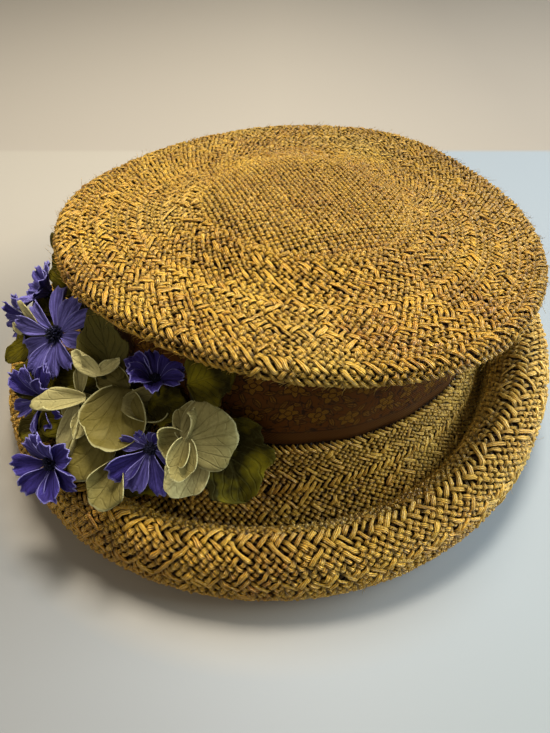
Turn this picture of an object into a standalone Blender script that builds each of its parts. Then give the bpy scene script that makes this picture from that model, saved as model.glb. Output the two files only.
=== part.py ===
"""Straw hat: plate-like crown tip, low crown wall, rolled brim, ribbon band and a spray of cloth flowers.

The hat stands on its hem. +X is the side away from the flowers, -Y is the front, +Z is up.
Tables give millimetres and degrees. Angles turn from +X towards +Y about the axis of the piece.
"""
import math

import bpy
from mathutils import Vector

MM = 0.001
GAP = 0.3

# Where the hat's own axis stands, so that the origin is under the middle of the whole hat.
HAT_SHIFT_X = -1.0
HAT_SHIFT_Y = 0.0

# Crown wall: an upright tube that narrows and leans a little away from the flowers.
WALL_FOOT_RADIUS = 90.7
WALL_HEAD_RADIUS = 88.0
WALL_THICKNESS = 2.5
WALL_FOOT_X = 5.0
WALL_HEAD_X = 10.5
WALL_FOOT_HEIGHT = 48.3
WALL_HEAD_HEIGHT = 82.5

# Ribbon band round the wall.
BAND_THICKNESS = 1.0
BAND_SHORTFALL = 1.2

# Crown tip: a plate that overhangs the wall and tilts down to the right and to the back.
TIP_CENTRE_X = 14.5
TIP_HEIGHT = 93.0
TIP_SLOPE_X = -0.062
TIP_SLOPE_Y = -0.041
TIP_THICKNESS = 2.2
TIP_FOLD_RADIUS = 3.0
DOME_HEIGHT = 8.0
DOME_FLAT = 0.28
DOME_FOOT = 0.72
TIP_RINGS = (0.16, 0.30, 0.42, 0.53, 0.64, 0.76, 1.0)
FOLD_ANGLES = (50.0, 0.0, -50.0, -90.0)

# Brim: straw wall from the crown's foot to the hem.
BRIM_THICKNESS = 2.4
BRIM_INNER_RADIUS = 92.0
BRIM_TOP = 48.0
HEM_INSET = 6.0
SAMPLES_PER_SPAN = 2
VALLEY_CONTROL = 2
CREST_CONTROL = 4
RING_GAP = 0.7

# Share of the way from the crown's foot to the valley, out and down, of the slope's middle point.
SLOPE_OUT = 0.40
SLOPE_DOWN = 0.55
# Share of the way from the crest to the girth, out and down, of the roll's shoulder.
SHOULDER_OUT = 0.70
SHOULDER_DOWN = 0.25
# Point between girth and hem: share of the hem's inset, and share of the girth's height.
TUCK_IN = 0.45
TUCK_HEIGHT = 0.40

# Corners round the straw pieces and the band.
AROUND = 56

# Plate edge, a row for each 30 degrees: radius, rise over the tilted plane.
TIP_EDGE = (
    (101.0, 0.0),
    (104.5, 0.0),
    (109.5, 1.6),
    (103.0, 0.4),
    (97.0, -1.0),
    (95.5, -1.0),
    (102.0, 0.0),
    (104.0, 0.0),
    (99.6, 0.0),
    (100.6, 0.0),
    (102.8, 0.0),
    (101.2, 0.0),
)

# Brim sections, a row for each 30 degrees, radius and height of each:
# valley, inner lip of the roll, crest, girth.
BRIM_SECTIONS = (
    (108.0, 16.0, 110.0, 37.0, 120.5, 47.0, 134.0, 25.0),
    (108.0, 17.0, 111.0, 36.0, 121.0, 45.0, 134.0, 23.0),
    (108.0, 18.0, 112.0, 33.0, 121.5, 41.0, 134.0, 20.0),
    (108.0, 19.0, 113.5, 30.0, 122.0, 37.0, 134.0, 17.0),
    (108.5, 19.0, 114.5, 28.0, 122.0, 34.0, 133.5, 14.0),
    (109.0, 19.0, 115.0, 26.0, 122.0, 32.0, 133.0, 12.0),
    (110.0, 18.0, 115.5, 25.0, 122.0, 31.0, 132.0, 11.0),
    (112.0, 17.0, 117.0, 26.0, 122.5, 32.0, 132.5, 11.0),
    (113.0, 16.0, 119.0, 27.0, 125.0, 32.5, 134.0, 12.0),
    (112.0, 18.0, 116.0, 27.5, 122.0, 32.0, 134.0, 14.0),
    (112.0, 26.0, 116.0, 31.0, 122.0, 34.5, 134.5, 19.0),
    (108.5, 17.0, 110.5, 36.0, 120.0, 44.0, 133.5, 23.0),
)

# Bound stems that lie against the band behind the flowers.
STEM_BUNDLE_RADIUS = 3.0
BUNDLE_PROUD = STEM_BUNDLE_RADIUS + BAND_THICKNESS + 4.0 * GAP
STEM_BUNDLE_HEIGHT = 57.0
STEM_BUNDLE_FROM = 176.0
STEM_BUNDLE_TO = 263.0
STEM_BUNDLE_STEPS = 14
STEM_BUNDLE_SIDES = 6
STEM_RADIUS = 1.1

# Flowers: eye, throat, petals' edge, calyx behind them and neck of the stem.
EYE_HEIGHT = 1.0
THROAT_REACH = 0.36
THROAT_LIFT = 0.35
PETAL_THICKNESS = 1.0
PETAL_BEVEL = 0.5
CALYX_RADIUS = 4.5
CALYX_DEPTH = 2.2
NECK_RADIUS = 1.43
NECK_DEPTH = 4.5
NOTCHED = {"samples": 3, "notch": 0.42, "roundness": 1.4}
ROUNDED = {"samples": 6, "notch": 0.50, "roundness": 2.6}

# Blue flowers: name, hub (x, y, z), facing (x, y, z), turn, petals, reach, cup.
BLUE_FLOWERS = (
    ("blue_flower_1", (-86.0, -51.0, 69.0), (-0.50, -0.55, 0.67), 0.0, 9, 18.0, 5.0),
    ("blue_flower_2", (-99.0, -19.0, 76.0), (-0.70, 0.00, 0.71), 12.0, 8, 13.0, 5.0),
    ("blue_flower_3", (-106.0, -34.0, 56.0), (-0.95, -0.10, 0.25), 5.0, 8, 12.0, 5.0),
    ("blue_flower_4", (-39.0, -83.5, 77.0), (-0.05, -0.80, 0.60), 8.0, 8, 11.0, 5.0),
    ("blue_flower_5", (-43.0, -98.0, 49.0), (0.10, -0.85, 0.50), 20.0, 9, 14.0, 6.0),
    ("blue_flower_6", (-84.0, -96.0, 44.0), (-0.55, -0.65, 0.52), 3.0, 8, 14.0, 6.0),
    ("blue_flower_7", (-101.0, -63.0, 47.0), (-0.85, -0.35, 0.35), 15.0, 8, 13.0, 6.0),
)

# Pale flowers: name, hub (x, y, z), facing (x, y, z), turn, petals as (reach, lift).
PALE_FLOWERS = (
    ("pale_flower_1", (-58.0, -82.0, 62.0), (-0.20, -0.60, 0.75), 20.0,
     ((18.0, 3.0), (15.0, 6.0), (13.0, 5.0), (18.0, 2.0))),
    ("pale_flower_2", (-65.5, -101.0, 48.0), (-0.30, -0.75, 0.60), 40.0,
     ((12.0, 4.0), (12.0, 6.0), (12.0, 3.0), (16.0, 2.0))),
    ("pale_flower_3", (-25.0, -103.0, 63.0), (0.10, -0.80, 0.60), 30.0,
     ((17.0, 4.0), (14.0, 5.0), (14.0, 4.0), (17.0, 2.0))),
    ("pale_flower_4", (-80.0, -74.0, 60.0), (-0.40, -0.55, 0.73), 10.0,
     ((11.0, 4.0), (11.0, 6.0), (15.0, 5.0), (11.0, 4.0))),
)

# Velvet leaves: name, angle along the stems, clearance to them, tip (x, y, z), width, arch.
LEAVES = (
    ("velvet_leaf_1", 261.0, 0.35, (-10.0, -109.0, 38.0), 30.0, 7.0),
    ("velvet_leaf_2", 252.0, 1.2, (-15.0, -91.0, 86.0), 20.0, 1.0),
    ("velvet_leaf_3", 220.0, 1.1, (-65.0, -66.0, 86.0), 19.0, 2.0),
    ("velvet_leaf_4", 184.0, 1.0, (-99.0, 4.0, 82.0), 14.0, 2.0),
)
LEAF_THICKNESS = 1.0
LEAF_BLUNT = 0.10
LEAF_FULLNESS = 0.8
LEAF_FOLD = 0.12
LEAF_BEVEL = 0.96
LEAF_ROWS = 6

COLOURS = {
    "straw": ((0.55, 0.38, 0.14, 1.0), 0.62),
    "ribbon": ((0.10, 0.07, 0.02, 1.0), 0.50),
    "blue_cloth": ((0.10, 0.09, 0.38, 1.0), 0.70),
    "pale_cloth": ((0.42, 0.42, 0.22, 1.0), 0.75),
    "velvet": ((0.07, 0.08, 0.02, 1.0), 0.85),
    "stem": ((0.06, 0.07, 0.03, 1.0), 0.80),
}


def clear_scene():
    """Remove whatever the scene holds."""
    for item in list(bpy.data.objects):
        bpy.data.objects.remove(item, do_unlink=True)


def finish_of(piece_name, finish):
    """Own Principled material of one piece."""
    colour, roughness = COLOURS[finish]
    material = bpy.data.materials.new(piece_name)
    material.use_nodes = True
    shader = material.node_tree.nodes["Principled BSDF"]
    shader.inputs["Base Color"].default_value = colour
    shader.inputs["Roughness"].default_value = roughness
    shader.inputs["Metallic"].default_value = 0.0
    return material


def add_piece(name, points, faces, finish, parent):
    """Make one object from points in millimetres and set it under the hat's empty."""
    mesh = bpy.data.meshes.new(name)
    mesh.from_pydata([tuple(MM * value for value in point) for point in points], [], faces)
    mesh.validate()
    mesh.materials.append(finish_of(name, finish))
    mesh.shade_smooth()
    mesh.set_sharp_from_angle(angle=math.radians(40.0))
    piece = bpy.data.objects.new(name, mesh)
    bpy.context.scene.collection.objects.link(piece)
    piece.parent = parent
    return piece


def spline(before, start, end, after, t):
    """Catmull-Rom value between start and end."""
    return 0.5 * (
        2.0 * start
        + (end - before) * t
        + (2.0 * before - 5.0 * start + 4.0 * end - after) * t * t
        + (3.0 * start - before - 3.0 * end + after) * t * t * t
    )


def round_value(table, column, angle):
    """Smooth value of a column of a table whose rows are spaced evenly round a circle."""
    count = len(table)
    place = (angle / (2.0 * math.pi) * count) % count
    row = int(place)
    values = [table[(row + step) % count][column] for step in (-1, 0, 1, 2)]
    return spline(*values, place - row)


def smooth_line(controls, samples):
    """Points of a curve through the control points, samples to each span."""
    line = []
    last = len(controls) - 1
    for span in range(last):
        near = [controls[max(0, min(last, span + step))] for step in (-1, 0, 1, 2)]
        for step in range(samples):
            t = step / samples
            line.append(tuple(spline(*[point[axis] for point in near], t) for axis in range(2)))
    line.append(controls[-1])
    return line


def smooth_step(low, high, value):
    t = max(0.0, min(1.0, (value - low) / (high - low)))
    return t * t * (3.0 - 2.0 * t)


def tip_plane(x, y):
    """Height of the tilted plane of the crown tip over the centre of its edge."""
    return TIP_SLOPE_X * (x - TIP_CENTRE_X) + TIP_SLOPE_Y * y


def offset_rows(rows, distance):
    """Rows of points moved by a distance against the outward normal of the grid."""
    moved = []
    for j, row in enumerate(rows):
        count = len(row)
        before = rows[max(j - 1, 0)]
        after = rows[min(j + 1, len(rows) - 1)]
        line = []
        for i, point in enumerate(row):
            along = Vector(after[i]) - Vector(before[i])
            across = Vector(row[(i + 1) % count]) - Vector(row[i - 1])
            normal = along.cross(across).normalized()
            line.append(tuple(Vector(point) - normal * distance))
        moved.append(line)
    return moved


def quads_between(first, second, count):
    """Faces of a closed band between two rings of points."""
    return [
        (first + i, second + i, second + (i + 1) % count, first + (i + 1) % count)
        for i in range(count)
    ]


def fan(ring, pole, count, last):
    """Triangles that close the first or the last ring at one point."""
    if last:
        return [(ring + (i + 1) % count, ring + i, pole) for i in range(count)]
    return [(ring + i, ring + (i + 1) % count, pole) for i in range(count)]


def closed_loft(rings, first_pole=None, last_pole=None):
    """Points and faces through rings of equal count, closed by poles or back on the first ring."""
    count = len(rings[0])
    points = [point for ring in rings for point in ring]
    faces = []
    for k in range(len(rings) - 1):
        faces += quads_between(k * count, (k + 1) * count, count)
    last = (len(rings) - 1) * count
    if first_pole is None:
        faces += quads_between(last, 0, count)
        return points, faces
    points += [first_pole, last_pole]
    faces += fan(0, len(points) - 2, count, False)
    faces += fan(last, len(points) - 1, count, True)
    return points, faces


def turn_angles(count):
    return [2.0 * math.pi * i / count for i in range(count)]


def crown_circle(x, radius, height_of, count=AROUND):
    """Ring of a circle about the crown's axis, at a height that each point gives."""
    ring = []
    for angle in turn_angles(count):
        px = x + radius * math.cos(angle)
        py = radius * math.sin(angle)
        ring.append((px, py, height_of(px, py)))
    return ring


def wall_head(x, y):
    return WALL_HEAD_HEIGHT + tip_plane(x, y)


def sleeve(name, proud, thickness, shortfall, finish, parent):
    """Tube on the crown wall's outer face, or proud of it, from the foot up to the tip."""

    def foot_at(_x, _y):
        return WALL_FOOT_HEIGHT

    def head_at(x, y):
        return wall_head(x, y) - GAP - shortfall

    rings = [
        crown_circle(WALL_HEAD_X, WALL_HEAD_RADIUS + proud, head_at),
        crown_circle(WALL_FOOT_X, WALL_FOOT_RADIUS + proud, foot_at),
        crown_circle(WALL_FOOT_X, WALL_FOOT_RADIUS + proud - thickness, foot_at),
        crown_circle(WALL_HEAD_X, WALL_HEAD_RADIUS + proud - thickness, head_at),
    ]
    points, faces = closed_loft(rings)
    return add_piece(name, points, faces, finish, parent)


def make_crown_wall(parent):
    return sleeve("crown_wall", 0.0, WALL_THICKNESS, 0.0, "straw", parent)


def make_band(parent):
    return sleeve("brocade_band", GAP + BAND_THICKNESS, BAND_THICKNESS, BAND_SHORTFALL, "ribbon", parent)


def tip_rows():
    """Outer surface of the crown tip: rings from the middle, over the fold, to the wall's head."""
    rows = []
    for part in TIP_RINGS:
        row = []
        for angle in turn_angles(AROUND):
            reach = part * (round_value(TIP_EDGE, 0, angle) - TIP_FOLD_RADIUS)
            x = TIP_CENTRE_X + reach * math.cos(angle)
            y = reach * math.sin(angle)
            rise = round_value(TIP_EDGE, 1, angle) * part * part
            dome = DOME_HEIGHT * (1.0 - smooth_step(DOME_FLAT, DOME_FOOT, part))
            row.append((x, y, TIP_HEIGHT + tip_plane(x, y) + rise + dome))
        rows.append(row)
    for fold in FOLD_ANGLES:
        row = []
        for angle in turn_angles(AROUND):
            centre = round_value(TIP_EDGE, 0, angle) - TIP_FOLD_RADIUS
            reach = centre + TIP_FOLD_RADIUS * math.cos(math.radians(fold))
            x = TIP_CENTRE_X + reach * math.cos(angle)
            y = reach * math.sin(angle)
            lift = TIP_FOLD_RADIUS * (math.sin(math.radians(fold)) - 1.0)
            z = TIP_HEIGHT + tip_plane(x, y) + round_value(TIP_EDGE, 1, angle) + lift
            row.append((x, y, z))
        rows.append(row)
    rows.append(crown_circle(WALL_HEAD_X, WALL_HEAD_RADIUS, wall_head))
    rows.append(crown_circle(WALL_HEAD_X, WALL_HEAD_RADIUS - WALL_THICKNESS, wall_head))
    return rows


def make_crown_tip(parent):
    outer = tip_rows()
    inner = offset_rows(outer, TIP_THICKNESS)
    top = TIP_HEIGHT + tip_plane(TIP_CENTRE_X, 0.0) + DOME_HEIGHT
    points, faces = closed_loft(
        outer + inner[::-1],
        (TIP_CENTRE_X, 0.0, top),
        (TIP_CENTRE_X, 0.0, top - TIP_THICKNESS),
    )
    return add_piece("crown_tip", points, faces, "straw", parent)


def brim_start(angle):
    """Distance from the brim's axis to the crown's foot."""
    across = WALL_FOOT_X * math.sin(angle)
    return WALL_FOOT_X * math.cos(angle) + math.sqrt(BRIM_INNER_RADIUS ** 2 - across ** 2)


def brim_section(angle):
    """Section of the brim from the crown's foot, over valley and crest, to the hem."""
    valley_r, valley_z, lip_r, lip_z, crest_r, crest_z, girth_r, girth_z = [
        round_value(BRIM_SECTIONS, column, angle) for column in range(8)
    ]
    start = brim_start(angle)
    controls = [
        (start, BRIM_TOP),
        (start + SLOPE_OUT * (valley_r - start), BRIM_TOP - SLOPE_DOWN * (BRIM_TOP - valley_z)),
        (valley_r, valley_z),
        (lip_r, lip_z),
        (crest_r, crest_z),
        (
            crest_r + SHOULDER_OUT * (girth_r - crest_r),
            crest_z - SHOULDER_DOWN * (crest_z - girth_z),
        ),
        (girth_r, girth_z),
        (girth_r - TUCK_IN * HEM_INSET, TUCK_HEIGHT * girth_z),
        (girth_r - HEM_INSET, 0.0),
    ]
    return smooth_line(controls, SAMPLES_PER_SPAN)


def brim_rows():
    sections = [brim_section(angle) for angle in turn_angles(AROUND)]
    rows = []
    for j in range(len(sections[0])):
        row = []
        for angle, section in zip(turn_angles(AROUND), sections):
            radius, height = section[j]
            row.append((radius * math.cos(angle), radius * math.sin(angle), height))
        rows.append(row)
    return rows


def flat_ring(row, inset, height):
    """A ring moved inward by an inset and laid at one height."""
    ring = []
    for x, y, _z in row:
        scale = 1.0 - inset / math.hypot(x, y)
        ring.append((x * scale, y * scale, height))
    return ring


def cut_rows(rows, first, last):
    """The rows from first to last, drawn back by half the gap where they are cut from the rest."""

    def drawn_back(row, inside):
        line = []
        for point, other in zip(row, inside):
            way = Vector(other) - Vector(point)
            line.append(tuple(Vector(point) + way.normalized() * RING_GAP / 2.0))
        return line

    part = rows[first : last + 1]
    if first > 0:
        part[0] = drawn_back(rows[first], rows[first + 1])
    if last < len(rows) - 1:
        part[-1] = drawn_back(rows[last], rows[last - 1])
    return part


def make_brim(parent):
    """The brim in three rings that meet in the valley and on the crest."""
    outer = brim_rows()
    inner = offset_rows(outer, BRIM_THICKNESS)
    inner[0] = flat_ring(outer[0], BRIM_THICKNESS, BRIM_TOP)
    inner[-1] = flat_ring(outer[-1], BRIM_THICKNESS, 0.0)
    valley = VALLEY_CONTROL * SAMPLES_PER_SPAN
    crest = CREST_CONTROL * SAMPLES_PER_SPAN
    for name, first, last in (
        ("brim_slope", 0, valley),
        ("brim_rise", valley, crest),
        ("brim_roll", crest, len(outer) - 1),
    ):
        face, back = cut_rows(outer, first, last), cut_rows(inner, first, last)
        points, faces = closed_loft(face + back[::-1])
        add_piece(name, points, faces, "straw", parent)


def bundle_axis():
    """Middle and radius of the crown at the bound stems' height."""
    lean = (STEM_BUNDLE_HEIGHT - WALL_FOOT_HEIGHT) / (WALL_HEAD_HEIGHT - WALL_FOOT_HEIGHT)
    x = WALL_FOOT_X + lean * (WALL_HEAD_X - WALL_FOOT_X)
    radius = WALL_FOOT_RADIUS + lean * (WALL_HEAD_RADIUS - WALL_FOOT_RADIUS)
    return x, radius + BUNDLE_PROUD


def bundle_centre(angle):
    """Centre line of the bound stems, against the band."""
    x, reach = bundle_axis()
    return Vector((x + reach * math.cos(angle), reach * math.sin(angle), STEM_BUNDLE_HEIGHT))


def make_stems(parent):
    rings = []
    up = Vector((0.0, 0.0, 1.0))
    for step in range(STEM_BUNDLE_STEPS + 1):
        turn = STEM_BUNDLE_FROM + (STEM_BUNDLE_TO - STEM_BUNDLE_FROM) * step / STEM_BUNDLE_STEPS
        angle = math.radians(turn)
        centre = bundle_centre(angle)
        out = Vector((math.cos(angle), math.sin(angle), 0.0))
        ring = []
        for side in turn_angles(STEM_BUNDLE_SIDES):
            across = math.cos(side) * out + math.sin(side) * up
            ring.append(tuple(centre + STEM_BUNDLE_RADIUS * across))
        rings.append(ring)
    first = bundle_centre(math.radians(STEM_BUNDLE_FROM))
    last = bundle_centre(math.radians(STEM_BUNDLE_TO))
    points, faces = closed_loft(rings, tuple(first), tuple(last))
    return add_piece("flower_stems", points, faces, "stem", parent)


def seat_on_stems(point, clearance):
    """The point of the bound stems' surface that is nearest, less the clearance, and the way to it."""
    angle = math.atan2(point.y, point.x - bundle_axis()[0])
    centre = bundle_centre(angle)
    way = (centre - point).normalized()
    return centre - way * (STEM_BUNDLE_RADIUS + clearance), way


def local_frame(facing):
    """Two directions across a facing direction, the first one level."""
    forward = Vector(facing).normalized()
    side = Vector((0.0, 0.0, 1.0)).cross(forward).normalized()
    return forward, side, forward.cross(side)


def flower(name, hub, facing, turn, petals, shape, finish, parent):
    """Cupped flower of joined petals on a stem. Each petal gives its reach and its lift."""
    forward, side, up = local_frame(facing)
    hub = Vector(hub)
    seat, way = seat_on_stems(hub, GAP)
    bend = (-forward).rotation_difference(way)
    count = len(petals) * shape["samples"]
    throat, rim, back, calyx, neck, foot = [], [], [], [], [], []
    for i in range(count):
        place = i / shape["samples"]
        reach, lift = petals[int(place + 0.5) % len(petals)]
        off = abs(place - round(place)) * 2.0
        lobe = reach * (1.0 - shape["notch"] * off ** shape["roundness"])
        angle = 2.0 * math.pi * i / count + math.radians(turn)
        out = math.cos(angle) * side + math.sin(angle) * up
        throat.append(hub + out * reach * THROAT_REACH + forward * lift * THROAT_LIFT)
        rim.append(hub + out * lobe + forward * lift)
        back.append(hub + out * (lobe - PETAL_BEVEL) + forward * (lift - PETAL_THICKNESS))
        calyx.append(hub + out * CALYX_RADIUS - forward * CALYX_DEPTH)
        neck.append(hub + out * NECK_RADIUS - forward * NECK_DEPTH)
        foot.append(seat + bend @ out * STEM_RADIUS)
    rings = [[tuple(point) for point in ring] for ring in (throat, rim, back, calyx, neck, foot)]
    points, faces = closed_loft(rings, tuple(hub + forward * EYE_HEIGHT), tuple(seat))
    return add_piece(name, points, faces, finish, parent)


def make_flowers(parent):
    for name, hub, facing, turn, petals, reach, cup in BLUE_FLOWERS:
        flower(name, hub, facing, turn, [(reach, cup)] * petals, NOTCHED, "blue_cloth", parent)
    for name, hub, facing, turn, petals in PALE_FLOWERS:
        flower(name, hub, facing, turn, petals, ROUNDED, "pale_cloth", parent)


def leaf_half_width(width, t):
    """Half of a leaf's width at a share of its length."""
    swell = math.sin(math.pi * (LEAF_BLUNT + (1.0 - LEAF_BLUNT) * t))
    return 0.5 * width * (LEAF_BLUNT + (1.0 - LEAF_BLUNT) * max(0.0, swell) ** LEAF_FULLNESS)


def make_leaf(name, turn, clearance, tip, width, arch, parent):
    """Pointed leaf from the bound stems to its tip, arched away from the crown."""
    tip = Vector(tip)
    angle = math.radians(turn)
    base = bundle_centre(angle)
    along = Vector((-math.sin(angle), math.cos(angle), 0.0))
    way = tip - base
    way = (way - along * way.dot(along)).normalized()
    start = base + way * (STEM_BUNDLE_RADIUS + clearance)
    run = tip - start
    out = Vector((start.x - WALL_FOOT_X, start.y, 0.0)).normalized()
    cross = run.cross(out).normalized()
    lift = cross.cross(run).normalized()
    rings = []
    for row in range(LEAF_ROWS + 1):
        t = row / LEAF_ROWS
        half = leaf_half_width(width, t)
        middle = start + run * t + lift * arch * math.sin(math.pi * t)
        fold = lift * LEAF_FOLD * half
        top = lift * LEAF_THICKNESS
        rings.append([tuple(point) for point in (
            middle - cross * half + fold,
            middle - top * 0.5,
            middle + cross * half + fold,
            middle + cross * half * LEAF_BEVEL + fold + top,
            middle + top * 0.5,
            middle - cross * half * LEAF_BEVEL + fold + top,
        )])
    points, faces = closed_loft(rings, tuple(start), tuple(tip))
    return add_piece(name, points, faces, "velvet", parent)


def make_leaves(parent):
    for name, turn, clearance, tip, width, arch in LEAVES:
        make_leaf(name, turn, clearance, tip, width, arch, parent)


def make_hat():
    clear_scene()
    stand = bpy.data.objects.new("hat_axis", None)
    stand.location = (MM * HAT_SHIFT_X, MM * HAT_SHIFT_Y, 0.0)
    bpy.context.scene.collection.objects.link(stand)
    make_crown_tip(stand)
    make_crown_wall(stand)
    make_band(stand)
    make_brim(stand)
    make_stems(stand)
    make_flowers(stand)
    make_leaves(stand)


make_hat()
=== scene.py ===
"""Looks of the straw hat: plaited straw, brocade ribbon, cloth flowers, velvet leaves, light and camera."""

import math

import bpy
import numpy as np
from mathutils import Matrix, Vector


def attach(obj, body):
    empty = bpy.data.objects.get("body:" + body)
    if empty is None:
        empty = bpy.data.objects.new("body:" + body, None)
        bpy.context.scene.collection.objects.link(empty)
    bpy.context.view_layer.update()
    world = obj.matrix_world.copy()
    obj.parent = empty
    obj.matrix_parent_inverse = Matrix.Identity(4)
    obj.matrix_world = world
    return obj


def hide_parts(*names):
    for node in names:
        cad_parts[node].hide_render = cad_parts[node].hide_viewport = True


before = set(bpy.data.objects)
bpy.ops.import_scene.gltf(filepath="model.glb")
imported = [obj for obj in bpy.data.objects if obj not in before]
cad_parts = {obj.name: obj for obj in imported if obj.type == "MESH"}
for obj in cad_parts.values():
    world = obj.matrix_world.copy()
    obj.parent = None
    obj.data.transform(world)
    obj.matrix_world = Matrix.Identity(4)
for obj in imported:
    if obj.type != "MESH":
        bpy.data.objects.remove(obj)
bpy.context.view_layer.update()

MM = 0.001
rng = np.random.default_rng(7)

# The hat's axis stands this far along X from the middle of its box, in millimetres.
HAT_SHIFT_X = -1.0

# Crown wall and ribbon band.
GAP = 0.3
WALL_FOOT_RADIUS = 90.7
WALL_HEAD_RADIUS = 88.0
WALL_FOOT_X = 5.0
WALL_HEAD_X = 10.5
WALL_FOOT_HEIGHT = 48.3
WALL_HEAD_HEIGHT = 82.5

# Crown tip.
TIP_CENTRE_X = 14.5
TIP_HEIGHT = 93.0
TIP_SLOPE_X = -0.062
TIP_SLOPE_Y = -0.041
TIP_FOLD_RADIUS = 3.0
DOME_HEIGHT = 8.0
DOME_FLAT = 0.28
DOME_FOOT = 0.72

# Radius of the tip's edge and its rise over the tilted plane, every 30 degrees from +X.
TIP_EDGE = (
    (101.0, 0.0),
    (104.5, 0.0),
    (109.5, 1.6),
    (103.0, 0.4),
    (97.0, -1.0),
    (95.5, -1.0),
    (102.0, 0.0),
    (104.0, 0.0),
    (99.6, 0.0),
    (100.6, 0.0),
    (102.8, 0.0),
    (101.2, 0.0),
)

# Brim: radius and height of valley, lip, crest and girth, every 30 degrees from +X.
BRIM_INNER_RADIUS = 92.0
BRIM_TOP = 48.0
HEM_INSET = 6.0
BRIM_SECTIONS = (
    (108.0, 16.0, 110.0, 37.0, 120.5, 47.0, 134.0, 25.0),
    (108.0, 17.0, 111.0, 36.0, 121.0, 45.0, 134.0, 23.0),
    (108.0, 18.0, 112.0, 33.0, 121.5, 41.0, 134.0, 20.0),
    (108.0, 19.0, 113.5, 30.0, 122.0, 37.0, 134.0, 17.0),
    (108.5, 19.0, 114.5, 28.0, 122.0, 34.0, 133.5, 14.0),
    (109.0, 19.0, 115.0, 26.0, 122.0, 32.0, 133.0, 12.0),
    (110.0, 18.0, 115.5, 25.0, 122.0, 31.0, 132.0, 11.0),
    (112.0, 17.0, 117.0, 26.0, 122.5, 32.0, 132.5, 11.0),
    (113.0, 16.0, 119.0, 27.0, 125.0, 32.5, 134.0, 12.0),
    (112.0, 18.0, 116.0, 27.5, 122.0, 32.0, 134.0, 14.0),
    (112.0, 26.0, 116.0, 31.0, 122.0, 34.5, 134.5, 19.0),
    (108.5, 17.0, 110.5, 36.0, 120.0, 44.0, 133.5, 23.0),
)
SLOPE_OUT = 0.40
SLOPE_DOWN = 0.55
SHOULDER_OUT = 0.70
SHOULDER_DOWN = 0.25
TUCK_IN = 0.45
TUCK_HEIGHT = 0.40

# Straw strands: width, depth, and rise or dip at a crossing, as shares of the space between neighbours.
STRAND_WIDTH = 0.71
STRAND_DEPTH = 0.52
CROSSING_RISE = 0.34
STRAND_SIDES = 6

# Height of the strands over the hat's surface, dip of their ends, and lowest height over the table.
STRAND_LIFT = 0.5
END_DIP = 1.2
STRAND_FLOOR = 0.8

# How uneven the strands are: shares of width and depth, and strand spacings aside.
UPPER_WIDER = 0.10
OWN_WIDTH_SPREAD = 0.10
DEPTH_SPREAD = 0.12
SWAY = 0.12
PLACE_SPREAD = 0.07

# Share of width and millimetres of height by which a strand varies along its way, and spread of tones.
PLAIT_UNEVENNESS = (0.18, 0.17)
PLAIT_TONE_SPREAD = 0.26
MIDDLE_UNEVENNESS = (0.14, 0.13)
MIDDLE_TONE_SPREAD = 0.22

# Plaited ground behind the strands.
GROUND_DROP = 0.6
GROUND_THICKNESS = 2.0
GROUND_CORNERS = 180
GROUND_ROWS = 44


# Shader helpers

class Value:
    """A number socket of a finish, worked on with Python's operators."""

    def __init__(self, finish, socket):
        self.finish = finish
        self.socket = socket

    def maths(self, operation, *others):
        return self.finish.maths(operation, self, *others)

    def __add__(self, other):
        return self.maths("ADD", other)

    def __sub__(self, other):
        return self.maths("SUBTRACT", other)

    def __rsub__(self, other):
        return self.finish.maths("SUBTRACT", other, self)

    def __mul__(self, other):
        return self.maths("MULTIPLY", other)

    def __truediv__(self, other):
        return self.maths("DIVIDE", other)

    __radd__ = __add__
    __rmul__ = __mul__

    def clamped(self):
        return self.maths("MINIMUM", 1.0).maths("MAXIMUM", 0.0)

    def between(self, low, high):
        """0 at low, 1 at high and a straight rise between them."""
        return ((self - low) / (high - low)).clamped()

    def size(self):
        return self.maths("ABSOLUTE")

    def wave(self, length):
        """A wave from 0 to 1 with the given length."""
        return self.maths("MULTIPLY", 2.0 * math.pi / length).maths("SINE") * 0.5 + 0.5


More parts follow.
